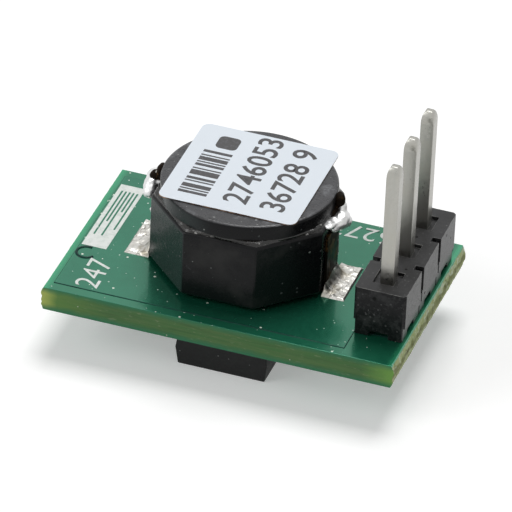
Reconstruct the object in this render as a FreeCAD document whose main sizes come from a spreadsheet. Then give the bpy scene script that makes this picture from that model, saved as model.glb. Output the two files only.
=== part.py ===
import FreeCAD, Part
import math
import os
import re

import Sketcher

V = FreeCAD.Vector
DOC = FreeCAD.newDocument("dc_dc_converter_module")

# Driving sizes in millimetres: name, value, meaning
SIZES = (
    ("board_length", "17.3", "board along X, over the broken webs at its ends"),
    ("board_width", "10.8", "board along Y"),
    ("board_thickness", "1.25", "board laminate"),
    ("score_depth", "0.4", "depth of the V score from each face"),
    ("score_setback", "0.16", "how far a scored face stands behind the web"),
    ("tall_part_height", "2.2", "height of the tallest parts on the underside, which the module rests on"),
    ("header_inset", "1.45", "row of pins from the board's end"),
    ("header_y", "0.32", "middle pin from the board's centre"),
    ("pin_pitch", "2.54", "pin spacing"),
    ("pin_size", "0.64", "side of a square pin"),
    ("pin_projection", "6.15", "pin above the housing"),
    ("pin_tail", "1.25", "pin below the board"),
    ("pin_tip_size", "0.26", "side of the flat at a pin's tip"),
    ("pin_tip_height", "0.5", "length of a pin's tapered tip"),
    ("pin_hole_room", "0.115", "plated pin hole beyond a pin's diagonal"),
    ("housing_height", "2.54", "header moulding"),
    ("housing_depth", "2.5", "header moulding along X"),
    ("notch_depth", "0.42", "notch between two blocks, into the side"),
    ("notch_width", "0.34", "notch between two blocks, along the row"),
    ("groove_width", "0.12", "parting groove between two blocks"),
    ("groove_depth", "0.12", "depth of the parting groove"),
    ("corner_cut", "0.28", "bevel at the four upright corners of the moulding"),
    ("well_margin", "0.28", "square well round each pin, beyond the pin"),
    ("well_depth", "0.35", "depth of a well"),
    ("foot_height", "0.28", "room under the moulding between its feet"),
    ("foot_channel", "0.95", "width of the channels between the feet"),
    ("plinth_height", "0.7", "height of the stepped foot of the moulding"),
    ("plinth_inset", "0.09", "depth of that step"),
    ("joint_rim", "0.06", "flat rim of a solder joint beyond its hollow"),
    ("joint_wall", "0.155", "solder round the pin, beyond its diagonal"),
    ("joint_height", "0.95", "solder joint below the board"),
    ("joint_round", "0.36", "hollow of the solder joint"),
    ("solder_film", "0.06", "flat solder on a pad"),
    ("inductor_gap", "1.04", "inductor's right pad from the header moulding"),
    ("inductor_y", "0.4", "inductor from the board's centre"),
    ("ring_across", "8.4", "shield ring across its flats"),
    ("ring_facet", "3.55", "width of the four facets on the axes"),
    ("ring_height", "3.45", "shield ring"),
    ("ring_bore", "6.3", "bore of the shield ring"),
    ("ring_edge", "0.1", "bevel on the ring's top and bottom edges"),
    ("wire_notch_width", "1.0", "notch in the ring's top for a winding lead"),
    ("wire_notch_depth", "0.56", "depth of that notch"),
    ("flange_setback", "0.04", "top flange's rim inside the ring's facets"),
    ("flange_thickness", "0.74", "top flange of the drum core"),
    ("flange_edge", "0.16", "bevel on the top flange's rim"),
    ("post_diameter", "3.2", "post of the drum core"),
    ("foot_thickness", "0.8", "lower flange of the drum core"),
    ("core_clearance", "0.12", "lower flange to the ring's bore"),
    ("core_lift", "0.1", "lower flange above the terminals' feet"),
    ("glue_gap", "0.14", "resin between the ring and the top flange"),
    ("coil_setback", "0.28", "winding inside the lower flange"),
    ("coil_turns", "6", "turns in the winding's outer layer"),
    ("coil_groove", "0.2", "depth of the groove between two turns"),
    ("wire_diameter", "0.42", "winding lead"),
    ("wire_overhang", "0.1", "cut end of a winding lead beyond its solder"),
    ("clip_thickness", "0.16", "terminal strip"),
    ("clip_width", "2.5", "terminal strip"),
    ("clip_foot", "1.3", "terminal under the ring"),
    ("clip_top_gap", "0.62", "terminal's top edge below the ring's top"),
    ("clip_bend", "0.14", "outer bend of a terminal"),
    ("bead_length", "2.3", "solder bead at a terminal's top, along Y"),
    ("bead_depth", "0.5", "solder bead from the ring outwards"),
    ("bead_drop", "0.85", "solder bead's lower edge below the ring's top"),
    ("bead_rise", "0.32", "solder bead's upper edge above the ring's top"),
    ("bead_round", "0.3", "rounding of the solder bead"),
    ("pad_width", "2.95", "inductor's pad along Y"),
    ("pad_reach", "1.1", "inductor's pad beyond the terminal"),
    ("pad_shift", "-0.2", "pads from the inductor's middle, along Y"),
    ("fillet_height", "0.95", "solder up the terminal's side"),
    ("fillet_round", "0.55", "hollow of the solder at a terminal's foot"),
    ("label_length", "6.72", "label along X"),
    ("label_width", "6.72", "label along Y"),
    ("label_thickness", "0.09", "label"),
    ("label_corner", "0.4", "round corner of the label"),
    ("label_shift_x", "-0.13", "label from the inductor's middle"),
    ("label_shift_y", "0.25", "label from the inductor's middle"),
    ("draft_angle", "7", "draft of the moulded packages, in degrees"),
    ("diode_gap", "0.6", "diode's solder from the output capacitor's side"),
    ("diode_y", "-2.45", "diode from the board's centre"),
    ("diode_length", "4.5", "diode package at its parting line"),
    ("diode_width", "3.6", "diode package at its parting line"),
    ("diode_parting", "0.95", "parting line above the diode's flat top"),
    ("diode_lead_width", "2.0", "diode lead"),
    ("diode_lead_thickness", "0.2", "diode lead"),
    ("diode_lead_reach", "0.42", "diode lead beyond the package"),
    ("diode_lead_foot", "0.85", "diode lead folded under the package"),
    ("lead_anchor", "0.3", "lead inside its package"),
    ("regulator_gap", "0.06", "regulator package from the diode's solder, along X"),
    ("regulator_y", "0.6", "regulator from the board's centre"),
    ("regulator_length", "4.9", "regulator package along X"),
    ("regulator_width", "3.9", "regulator package along Y"),
    ("regulator_height", "1.45", "regulator package"),
    ("regulator_standoff", "0.12", "regulator package to the board"),
    ("regulator_span", "6.0", "regulator over its leads"),
    ("regulator_lead_pairs", "4", "leads on each side of the regulator"),
    ("regulator_lead_pitch", "1.27", "regulator lead spacing"),
    ("regulator_lead_width", "0.41", "regulator lead"),
    ("regulator_lead_thickness", "0.2", "regulator lead"),
    ("regulator_lead_foot", "0.62", "regulator lead's foot"),
    ("regulator_lead_slope", "0.12", "lean of a regulator lead"),
    ("large_chip_length", "3.2", "large ceramic capacitor"),
    ("large_chip_width", "2.5", "large ceramic capacitor"),
    ("large_chip_band", "0.5", "metal end of a large capacitor"),
    ("small_chip_length", "1.6", "small chip part"),
    ("small_chip_width", "0.8", "small chip part"),
    ("small_chip_band", "0.3", "metal end of a small chip part"),
    ("small_capacitor_height", "0.8", "small ceramic capacitor"),
    ("small_resistor_height", "0.45", "small resistor"),
    ("end_wall", "0.04", "how far a chip's metal end stands proud"),
    ("chip_fillet_reach", "0.3", "solder beyond a chip's end"),
    ("chip_fillet_share", "0.55", "solder's height as a share of the chip's"),
    ("lead_fillet_reach", "0.22", "solder beyond a lead's end"),
    ("output_capacitor_gap", "0.35", "output capacitor's side from the pins' solder"),
    ("input_capacitor_gap", "0.2", "input capacitor's solder from the output capacitor's side"),
    ("bootstrap_gap", "0.6", "bootstrap capacitor's side from the input capacitor's solder"),
    ("compensation_gap", "0.25", "compensation parts' solder from the input capacitor's"),
    ("feedback_gap", "0.7", "feedback resistors' solder from the pins' solder"),
    ("input_capacitor_y", "2.6", "from the board's centre"),
    ("output_capacitor_y", "-0.1", "from the board's centre"),
    ("bootstrap_capacitor_y", "0.95", "from the board's centre"),
    ("back_row_inset", "0.75", "back row of small parts from the board's back edge"),
    ("chip_row_step", "1.35", "spacing of the two rows of small parts"),
)

# Places and sizes that follow from the driving ones
PLACES = (
    ("board_under", "=Sizes.tall_part_height", "board's underside over the rest plane"),
    ("board_top", "=Sizes.tall_part_height + Sizes.board_thickness", "board's upper face"),
    ("header_x", "=Sizes.board_length / 2 - Sizes.header_inset", "row of pins"),
    ("first_pin_y", "=Sizes.header_y - Sizes.pin_pitch", "front pin"),
    ("pin_hole", "=Sizes.pin_size * sqrt(2) + Sizes.pin_hole_room", "diameter of a plated pin hole"),
    ("well_size", "=Sizes.pin_size + 2 * Sizes.well_margin", "square well round a pin"),
    ("joint_neck", "=Sizes.pin_size * sqrt(2) + Sizes.joint_wall", "solder round a pin's tail"),
    ("joint_diameter", "=Sizes.pin_size * sqrt(2) + Sizes.joint_wall"
     " + 2 * (Sizes.joint_round + Sizes.joint_rim)", "solder joint on its pad"),
    ("ring_base", "=Sizes.clip_thickness", "ring's underside over the board"),
    ("ring_top", "=Sizes.clip_thickness + Sizes.ring_height", "ring's top over the board"),
    ("ring_side", "=Sizes.ring_across / 2", "facet from the inductor's axis"),
    ("flange_side", "=Sizes.ring_across / 2 - Sizes.flange_setback", "top flange's radius"),
    ("foot_side", "=Sizes.ring_bore / 2 - Sizes.core_clearance", "lower flange's radius"),
    ("coil_side", "=Sizes.ring_bore / 2 - Sizes.core_clearance - Sizes.coil_setback", "winding's radius"),
    ("core_base", "=Sizes.clip_thickness + Sizes.core_lift", "drum core's underside over the board"),
    ("coil_base", "=Sizes.clip_thickness + Sizes.core_lift + Sizes.foot_thickness",
     "winding's underside over the board"),
    ("flange_base", "=Sizes.clip_thickness + Sizes.ring_height + Sizes.glue_gap", "top flange's underside"),
    ("coil_step", "=(Sizes.ring_height + Sizes.glue_gap - Sizes.core_lift - Sizes.foot_thickness)"
     " / Sizes.coil_turns", "height of one turn"),
    ("core_top", "=Sizes.clip_thickness + Sizes.ring_height + Sizes.glue_gap + Sizes.flange_thickness",
     "drum core's top over the board"),
    ("clip_side", "=Sizes.ring_across / 2 + Sizes.clip_thickness", "terminal's outer face"),
    ("wire_z", "=Sizes.clip_thickness + Sizes.ring_height - Sizes.wire_notch_depth / 2",
     "winding lead's centre line over the board"),
    ("inductor_x", "=Sizes.board_length / 2 - Sizes.header_inset - Sizes.housing_depth / 2"
     " - Sizes.inductor_gap - Sizes.pad_reach - Sizes.clip_thickness - Sizes.ring_across / 2", "inductor"),
    ("joint_side_x", "=Sizes.board_length / 2 - Sizes.header_inset - Sizes.pin_size * sqrt(2) / 2"
     " - Sizes.joint_wall / 2 - Sizes.joint_round - Sizes.joint_rim", "inner side of the pins' solder"),
    ("output_capacitor_x", "=joint_side_x - Sizes.output_capacitor_gap - Sizes.large_chip_width / 2",
     "from the board's centre"),
    ("output_capacitor_side_x", "=output_capacitor_x - Sizes.large_chip_width / 2", "its inner side"),
    ("input_capacitor_x", "=output_capacitor_side_x - Sizes.input_capacitor_gap"
     " - Sizes.chip_fillet_reach - Sizes.large_chip_length / 2", "from the board's centre"),
    ("input_solder_x", "=input_capacitor_x - Sizes.large_chip_length / 2 - Sizes.chip_fillet_reach",
     "end of the input capacitor's solder"),
    ("bootstrap_capacitor_x", "=input_solder_x - Sizes.bootstrap_gap - Sizes.small_chip_width / 2",
     "from the board's centre"),
    ("compensation_column_x", "=input_solder_x - Sizes.compensation_gap - Sizes.chip_fillet_reach"
     " - Sizes.small_chip_length / 2", "compensation parts"),
    ("feedback_column_x", "=joint_side_x - Sizes.feedback_gap - Sizes.chip_fillet_reach"
     " - Sizes.small_chip_length / 2", "feedback resistors"),
    ("diode_reach", "=Sizes.diode_length / 2 + Sizes.diode_lead_reach + Sizes.lead_fillet_reach",
     "end of the diode's solder from its middle"),
    ("diode_x", "=output_capacitor_side_x - Sizes.diode_gap - diode_reach", "from the board's centre"),
    ("regulator_x", "=diode_x - diode_reach - Sizes.regulator_gap - Sizes.regulator_length / 2",
     "from the board's centre"),
    ("diode_parting_z", "=Sizes.diode_parting - Sizes.tall_part_height", "from the board's underside"),
    ("regulator_middle", "=0 - Sizes.regulator_standoff - Sizes.regulator_height / 2",
     "regulator's parting line from the board's underside"),
    ("compensation_capacitor_x", "=compensation_column_x", "from the board's centre"),
    ("compensation_capacitor_y", "=Sizes.board_width / 2 - Sizes.back_row_inset", "from the board's centre"),
    ("compensation_resistor_x", "=compensation_column_x", "from the board's centre"),
    ("compensation_resistor_y", "=Sizes.board_width / 2 - Sizes.back_row_inset - Sizes.chip_row_step",
     "from the board's centre"),
    ("lower_feedback_resistor_x", "=feedback_column_x", "from the board's centre"),
    ("lower_feedback_resistor_y", "=Sizes.board_width / 2 - Sizes.back_row_inset", "from the board's centre"),
    ("upper_feedback_resistor_x", "=feedback_column_x", "from the board's centre"),
    ("upper_feedback_resistor_y", "=Sizes.board_width / 2 - Sizes.back_row_inset - Sizes.chip_row_step",
     "from the board's centre"),
)


def fill_sheet(name, rows):
    """Makes a spreadsheet with a name, a value and a meaning in each row."""
    sheet = DOC.addObject("Spreadsheet::Sheet", name)
    for row, (alias, content, meaning) in enumerate(rows, 1):
        sheet.set(f"A{row}", alias)
        sheet.set(f"B{row}", content)
        sheet.set(f"C{row}", meaning)
        sheet.setAlias(f"B{row}", alias)
    DOC.recompute()
    return sheet


SHEET = fill_sheet("Sizes", SIZES)
fill_sheet("Places", PLACES)
SHEET_OF = {row[0]: "Sizes" for row in SIZES} | {row[0]: "Places" for row in PLACES}


def on_sheet(expression):
    """Writes each named size of an expression with the sheet that it stands on."""
    def full_name(word):
        name = word[0]
        return f"{SHEET_OF[name]}.{name}" if name in SHEET_OF else name
    return re.sub(r"[a-z_]+", full_name, expression)


def value(expression):
    """The number that an expression of named sizes gives."""
    return float(SHEET.evalExpression(on_sheet(expression)))


def bind(item, **expressions):
    """Ties properties of an object to expressions of named sizes."""
    for name, expression in expressions.items():
        item.setExpression(name, on_sheet(expression))


def place(item, x="0", y="0", z="0", turn=0):
    """Puts an object at a place given by expressions, turned about Z by whole degrees."""
    item.Placement = FreeCAD.Placement(V(0, 0, 0), FreeCAD.Rotation(V(0, 0, 1), turn))
    for axis, expression in zip("xyz", (x, y, z)):
        item.setExpression(f"Placement.Base.{axis}", on_sheet(expression))


def new_body(label, x="0", y="0", z="0", turn=0):
    """A body at its place."""
    body = DOC.addObject("PartDesign::Body", label)
    body.Label = label
    place(body, x, y, z, turn)
    return body


def origin_feature(body, role):
    """One of the body's own origin planes or axes."""
    return next(item for item in body.Origin.OriginFeatures if item.Role == role)


def new_sketch(body, name, role="XY_Plane", lift="0"):
    """A sketch on one of the body's origin planes, lifted along the plane's normal."""
    sketch = body.newObject("Sketcher::SketchObject", name)
    sketch.AttachmentSupport = (origin_feature(body, role), [""])
    sketch.MapMode = "FlatFace"
    sketch.setExpression("AttachmentOffset.Base.z", on_sheet(lift))
    return sketch


def tie(sketch, kind, edge, end, expression):
    """Ties one coordinate of an edge's end to an expression."""
    if expression == "0":
        axis = -2 if kind == "DistanceX" else -1
        sketch.addConstraint(Sketcher.Constraint("PointOnObject", edge, end, axis))
        return
    rule = Sketcher.Constraint(kind, -1, 1, edge, end, value(expression))
    index = sketch.addConstraint(rule)
    sketch.setExpression(f"Constraints[{index}]", on_sheet(expression))


def outline(sketch, corners):
    """Closes straight edges through corners, each given as a pair of expressions."""
    first = sketch.GeometryCount
    points = [V(value(x), value(y), 0) for x, y in corners]
    count = len(points)
    for index, point in enumerate(points):
        sketch.addGeometry(Part.LineSegment(point, points[(index + 1) % count]), False)
    for index in range(count):
        following = first + (index + 1) % count
        sketch.addConstraint(Sketcher.Constraint("Coincident", first + index, 2, following, 1))
    for index, (x, y) in enumerate(corners):
        tie(sketch, "DistanceX", first + index, 1, x)
        tie(sketch, "DistanceY", first + index, 1, y)


def rectangle(sketch, left, right, low, high):
    """A rectangle between four expressions."""
    outline(sketch, [(left, low), (right, low), (right, high), (left, high)])


def centred(sketch, length, width):
    """A rectangle about the sketch's origin."""
    rectangle(sketch, f"-({length}) / 2", f"({length}) / 2", f"-({width}) / 2", f"({width}) / 2")


def circle(sketch, diameter, y="0"):
    """A circle on the sketch's vertical axis."""
    centre = V(0, value(y), 0)
    edge = sketch.addGeometry(Part.Circle(centre, V(0, 0, 1), value(diameter) / 2), False)
    tie(sketch, "DistanceX", edge, 3, "0")
    tie(sketch, "DistanceY", edge, 3, y)
    index = sketch.addConstraint(Sketcher.Constraint("Diameter", edge, value(diameter)))
    sketch.setExpression(f"Constraints[{index}]", on_sheet(diameter))


def pad(body, sketch, length, symmetric=False, flipped=False, taper=None):
    """Grows a solid from a sketch."""
    feature = body.newObject("PartDesign::Pad", sketch.Name + "_pad")
    feature.Profile = sketch
    feature.SideType = "Symmetric" if symmetric else "One side"
    feature.Reversed = flipped
    bind(feature, Length=length)
    if taper:
        bind(feature, TaperAngle=taper)
    return feature


def pocket(body, sketch, length, symmetric=False, flipped=False):
    """Cuts a sketch into the solid, and stops where nothing was cut."""
    DOC.recompute()
    before = body.Tip.Shape.Volume
    feature = body.newObject("PartDesign::Pocket", sketch.Name + "_pocket")
    feature.Profile = sketch
    feature.SideType = "Symmetric" if symmetric else "One side"
    feature.Reversed = flipped
    bind(feature, Length=length)
    DOC.recompute()
    if feature.Shape.isNull() or feature.Shape.Volume >= before:
        raise RuntimeError(f"{feature.Name} cut nothing")
    return feature


def revolve(body, sketch):
    """Turns a sketch fully about its vertical axis."""
    feature = body.newObject("PartDesign::Revolution", sketch.Name + "_turned")
    feature.Profile = sketch
    feature.ReferenceAxis = (sketch, ["V_Axis"])
    feature.Angle = 360
    return feature


def pattern(body, originals, role, length, count):
    """Repeats features along an origin axis."""
    feature = body.newObject("PartDesign::LinearPattern", originals[0].Name + "_row")
    feature.Originals = originals
    feature.Direction = (origin_feature(body, role), [""])
    feature.Occurrences = count
    bind(feature, Length=length)
    body.Tip = feature
    return feature


def dress(body, kind, name, test, **sizes):
    """Adds a fillet or chamfer on the edges of the body's tip that pass a test."""
    DOC.recompute()
    base = body.Tip
    names = [f"Edge{index}" for index, edge in enumerate(base.Shape.Edges, 1) if test(edge)]
    if not names:
        raise RuntimeError(f"{name} finds no edge")
    feature = body.newObject(f"PartDesign::{kind}", name)
    feature.Base = (base, names)
    bind(feature, **sizes)
    return feature


def is_upright(edge):
    """True for a straight edge along Z."""
    box = edge.BoundBox
    return box.ZLength > 1e-6 and box.XLength < 1e-6 and box.YLength < 1e-6


def lies_at(edge, axis, place_value):
    """True for an edge that lies in a plane across an axis."""
    box = edge.BoundBox
    low, high = getattr(box, axis + "Min"), getattr(box, axis + "Max")
    return abs(low - place_value) < 1e-4 and abs(high - place_value) < 1e-4


def primitive(kind, name, **expressions):
    """A Part primitive with bound sizes."""
    item = DOC.addObject(f"Part::{kind}", name)
    bind(item, **expressions)
    return item


def cut_away(label, base, tools):
    """Base with the tools cut out of it."""
    if len(tools) == 1:
        tool = tools[0]
    else:
        tool = DOC.addObject("Part::MultiFuse", label + "_tools")
        tool.Shapes = tools
    item = DOC.addObject("Part::Cut", label)
    item.Base = base
    item.Tool = tool
    item.Label = label
    return item


def group(label, items):
    """Separate solids that share one node."""
    item = DOC.addObject("Part::Compound", label)
    item.Links = items
    item.Label = label
    return item


def circuit_board():
    """The laminate: its two ends are V scored and snapped, and it has a row of pin holes."""
    body = new_body("circuit_board", z="board_under")
    profile = new_sketch(body, "board_profile", "XZ_Plane")
    web = "board_length / 2"
    face = "(board_length / 2 - score_setback)"
    outline(profile, [
        (f"-{face}", "0"), (face, "0"), (web, "score_depth"), (web, "board_thickness - score_depth"),
        (face, "board_thickness"), (f"-{face}", "board_thickness"),
        (f"-{web}", "board_thickness - score_depth"), (f"-{web}", "score_depth"),
    ])
    pad(body, profile, "board_width", symmetric=True)
    holes = new_sketch(body, "pin_holes", lift="board_thickness")
    centre = V(value("header_x"), value("first_pin_y"), 0)
    edge = holes.addGeometry(Part.Circle(centre, V(0, 0, 1), value("pin_hole") / 2), False)
    tie(holes, "DistanceX", edge, 3, "header_x")
    tie(holes, "DistanceY", edge, 3, "first_pin_y")
    index = holes.addConstraint(Sketcher.Constraint("Diameter", edge, value("pin_hole")))
    holes.setExpression(f"Constraints[{index}]", on_sheet("pin_hole"))
    hole = pocket(body, holes, "board_thickness")
    pattern(body, [hole], "Y_Axis", "pin_pitch * 2", 3)
    return body


def header_housing():
    """The header's moulding: three blocks with notches, pin wells, a stepped plinth and feet."""
    body = new_body("header_housing", "header_x", "first_pin_y", "board_top")
    side = "housing_depth / 2"
    front = "-pin_pitch / 2"
    back = "pin_pitch * 2.5"
    bar = new_sketch(body, "bar")
    rectangle(bar, f"-{side}", side, front, back)
    pad(body, bar, "housing_height")
    dress(body, "Chamfer", "bar_corners", is_upright, Size="corner_cut")

    notches = new_sketch(body, "notches", lift="housing_height")
    for left, right in ((f"-{side}", f"-({side} - notch_depth)"), (f"{side} - notch_depth", side)):
        rectangle(notches, left, right, "(pin_pitch - notch_width) / 2", "(pin_pitch + notch_width) / 2")
    notch = pocket(body, notches, "housing_height / 2")
    grooves = new_sketch(body, "grooves", lift="housing_height")
    for left, right in ((f"-{side}", f"-({side} - groove_depth)"), (f"{side} - groove_depth", side)):
        rectangle(grooves, left, right, "(pin_pitch - groove_width) / 2", "(pin_pitch + groove_width) / 2")
    groove = pocket(body, grooves, "housing_height")
    pattern(body, [notch, groove], "Y_Axis", "pin_pitch", 2)

    plinth = new_sketch(body, "plinth")
    for left, right in ((f"-{side}", f"-({side} - plinth_inset)"), (f"{side} - plinth_inset", side)):
        rectangle(plinth, left, right, front, back)
    pocket(body, plinth, "plinth_height", flipped=True)
    lane = new_sketch(body, "lane")
    rectangle(lane, "-foot_channel / 2", "foot_channel / 2", front, back)
    pocket(body, lane, "foot_height", flipped=True)

    crossing = new_sketch(body, "crossing")
    centred(crossing, "housing_depth", "foot_channel")
    channel = pocket(body, crossing, "foot_height", flipped=True)
    well = new_sketch(body, "well", lift="housing_height")
    centred(well, "well_size", "well_size")
    recess = pocket(body, well, "well_depth")
    passage = new_sketch(body, "passage", lift="housing_height")
    centred(passage, "pin_size", "pin_size")
    bore = pocket(body, passage, "housing_height")
    pattern(body, [channel, recess, bore], "Y_Axis", "pin_pitch * 2", 3)
    return body


def square_pin(label, number):
    """A square pin with a tapered tip at each end."""
    body = new_body(label, "header_x", f"first_pin_y + pin_pitch * {number}", "board_top")
    shank_top = "housing_height + pin_projection - pin_tip_height"
    shank_base = "-(board_thickness + pin_tail - pin_tip_height)"
    shank = new_sketch(body, label + "_shank", lift=shank_base)
    centred(shank, "pin_size", "pin_size")
    pad(body, shank, f"{shank_top} - ({shank_base})")
    ends = (("top", shank_top, f"{shank_top} + pin_tip_height"),
            ("tail", shank_base, f"{shank_base} - pin_tip_height"))
    for end, start, finish in ends:
        wide = new_sketch(body, f"{label}_{end}_wide", lift=start)
        centred(wide, "pin_size", "pin_size")
        narrow = new_sketch(body, f"{label}_{end}_narrow", lift=finish)
        centred(narrow, "pin_tip_size", "pin_tip_size")
        tip = body.newObject("PartDesign::AdditiveLoft", f"{label}_{end}_tip")
        tip.Profile = wide
        tip.Sections = [narrow]
    return body


def pin_solder(label, number):
    """The solder that fills one pin hole and rises round the tail below the board."""
    body = new_body(label, "header_x", f"first_pin_y + pin_pitch * {number}", "board_under")
    film = new_sketch(body, label + "_film")
    circle(film, "joint_diameter")
    pad(body, film, "solder_film", flipped=True)
    neck = new_sketch(body, label + "_neck")
    circle(neck, "joint_neck")
    pad(body, neck, "joint_height", flipped=True)
    inner_edge = value("-solder_film")
    neck_length = math.pi * value("joint_neck")

    def at_the_neck(edge):
        return lies_at(edge, "Z", inner_edge) and abs(edge.Length - neck_length) < 1e-3
    dress(body, "Fillet", label + "_hollow", at_the_neck, Radius="joint_round")
    barrel = new_sketch(body, label + "_barrel")
    circle(barrel, "pin_hole")
    pad(body, barrel, "board_thickness")
    passage = new_sketch(body, label + "_passage")
    centred(passage, "pin_size", "pin_size")
    pocket(body, passage, "(board_thickness + joint_height) * 2", symmetric=True)
    return body


def inductor_body(label, turn=0):
    """A body in the inductor's own frame, whose origin is on the board under its axis."""
    return new_body(label, "inductor_x", "inductor_y", "board_top", turn)


def inductor_shield_ring():
    """The ferrite ring: eight facets, a round bore and two notches for the winding's leads."""
    body = inductor_body("inductor_shield_ring")
    square = new_sketch(body, "ring_square", lift="ring_base")
    centred(square, "ring_across", "ring_across")
    pad(body, square, "ring_height")
    dress(body, "Chamfer", "ring_diagonals", is_upright, Size="(ring_across - ring_facet) / 2")
    low, high = value("ring_base"), value("ring_top")

    def at_top_or_bottom(edge):
        return lies_at(edge, "Z", low) or lies_at(edge, "Z", high)
    dress(body, "Chamfer", "ring_edges", at_top_or_bottom, Size="ring_edge")
    bore = new_sketch(body, "ring_bore_circle", lift="ring_top")
    circle(bore, "ring_bore")
    pocket(body, bore, "ring_height")
    notches = new_sketch(body, "wire_notches", lift="ring_top")
    centred(notches, "ring_across", "wire_notch_width")
    pocket(body, notches, "wire_notch_depth")
    return body


def inductor_core():
    """The ferrite drum: a lower flange inside the ring, a post, and a wide top flange."""
    body = inductor_body("inductor_core")
    section = new_sketch(body, "core_section", "XZ_Plane")
    post = "post_diameter / 2"
    outline(section, [
        ("0", "core_base"), ("foot_side", "core_base"), ("foot_side", "coil_base"), (post, "coil_base"),
        (post, "flange_base"), ("flange_side", "flange_base"), ("flange_side", "core_top - flange_edge"),
        ("flange_side - flange_edge", "core_top"), ("0", "core_top"),
    ])
    revolve(body, section)
    return body


def inductor_adhesive():
    """The resin seam between the ring's top and the drum's top flange."""
    body = inductor_body("inductor_adhesive")
    section = new_sketch(body, "seam_section", "XZ_Plane")
    outline(section, [
        ("ring_bore / 2", "ring_top"), ("ring_side - ring_edge", "ring_top"),
        ("flange_side - ring_edge", "flange_base"), ("ring_bore / 2", "flange_base"),
    ])
    revolve(body, section)
    return body


def inductor_winding():
    """The copper coil between the drum's flanges, with a ridge for each turn of its outer layer."""
    body = inductor_body("inductor_winding")
    section = new_sketch(body, "coil_section", "XZ_Plane")
    corners = [("post_diameter / 2", "flange_base"), ("post_diameter / 2", "coil_base")]
    for turn in range(round(value("coil_turns"))):
        corners.append(("coil_side - coil_groove", f"coil_base + coil_step * {turn}"))
        corners.append(("coil_side", f"coil_base + coil_step * {turn + 0.5}"))
    corners.append(("coil_side - coil_groove", "flange_base"))
    outline(section, corners)
    revolve(body, section)
    return body


def inductor_terminal(label, turn):
    """A tinned strip down one side of the ring, folded under it."""
    body = inductor_body(label, turn)
    strip = new_sketch(body, label + "_strip", "XZ_Plane")
    outline(strip, [
        ("ring_side - clip_foot", "0"), ("clip_side", "0"), ("clip_side", "ring_top - clip_top_gap"),
        ("ring_side", "ring_top - clip_top_gap"), ("ring_side", "ring_base"),
        ("ring_side - clip_foot", "ring_base"),
    ])
    pad(body, strip, "clip_width", symmetric=True)
    corner = value("clip_side")

    def at_the_bend(edge):
        return lies_at(edge, "Z", 0) and lies_at(edge, "X", corner)
    dress(body, "Fillet", label + "_bend", at_the_bend, Radius="clip_bend")
    return body


def winding_lead(label, turn):
    """One end of the winding: from the coil out through the ring's notch and its solder."""
    body = inductor_body(label, turn)
    section = new_sketch(body, label + "_section", "YZ_Plane", lift="coil_side")
    circle(section, "wire_diameter", y="wire_z")
    pad(body, section, "ring_side + bead_depth + wire_overhang - coil_side")
    return body


def clip_solder(label, turn, neighbours):
    """The rounded bead of solder over a terminal's top and round the winding's lead."""
    bead = inductor_body(label + "_bead", turn)
    section = new_sketch(bead, label + "_section", "XZ_Plane")
    outer = "ring_side + bead_depth"
    rectangle(section, "ring_side", outer, "ring_top - bead_drop", "ring_top + bead_rise")
    pad(bead, section, "bead_length", symmetric=True)
    reach = value(outer)

    def on_the_outer_face(edge):
        return lies_at(edge, "X", reach)
    dress(bead, "Fillet", label + "_rounding", on_the_outer_face, Radius="bead_round")
    return cut_away(label, bead, neighbours)


def pad_solder(label, turn):
    """Solder on one of the inductor's pads, with a hollow fillet up the terminal."""
    body = inductor_body(label, turn)
    outer = "clip_side + pad_reach"
    flank = new_sketch(body, label + "_flank", "XZ_Plane")
    outline(flank, [
        ("clip_side", "0"), (outer, "0"), (outer, "solder_film"),
        ("clip_side + solder_film", "solder_film"), ("clip_side + solder_film", "fillet_height"),
        ("clip_side", "fillet_height"),
    ])
    pad(body, flank, "clip_width", symmetric=True)
    film = new_sketch(body, label + "_film")
    side = -1 if turn else 1
    shift = f"pad_shift * {side}"
    rectangle(film, "clip_side", outer, f"{shift} - pad_width / 2", f"{shift} + pad_width / 2")
    pad(body, film, "solder_film")
    corner_x, corner_z = value("clip_side + solder_film"), value("solder_film")

    def in_the_corner(edge):
        return lies_at(edge, "X", corner_x) and lies_at(edge, "Z", corner_z)
    dress(body, "Fillet", label + "_hollow", in_the_corner, Radius="fillet_round")
    return body


def inductor_label():
    """The label on the drum's top, a little larger than the flange at its back corners."""
    body = new_body("inductor_label", "inductor_x + label_shift_x", "inductor_y + label_shift_y",
                    "board_top + core_top")
    sheet = new_sketch(body, "label_sheet")
    centred(sheet, "label_length", "label_width")
    pad(body, sheet, "label_thickness")
    dress(body, "Fillet", "label_corners", is_upright, Radius="label_corner")
    return body


def moulded_package(label, x, y, length, width, parting, seat, far):
    """A package moulded in two halves: its sides lean in from the parting line, both ways."""
    body = new_body(label, x, y, "board_under")
    upper = new_sketch(body, label + "_upper", lift=parting)
    centred(upper, length, width)
    pad(body, upper, f"({seat}) - ({parting})", taper="0 - draft_angle")
    lower = new_sketch(body, label + "_lower", lift=parting)
    centred(lower, length, width)
    pad(body, lower, f"({parting}) - ({far})", flipped=True, taper="0 - draft_angle")
    return body


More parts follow.
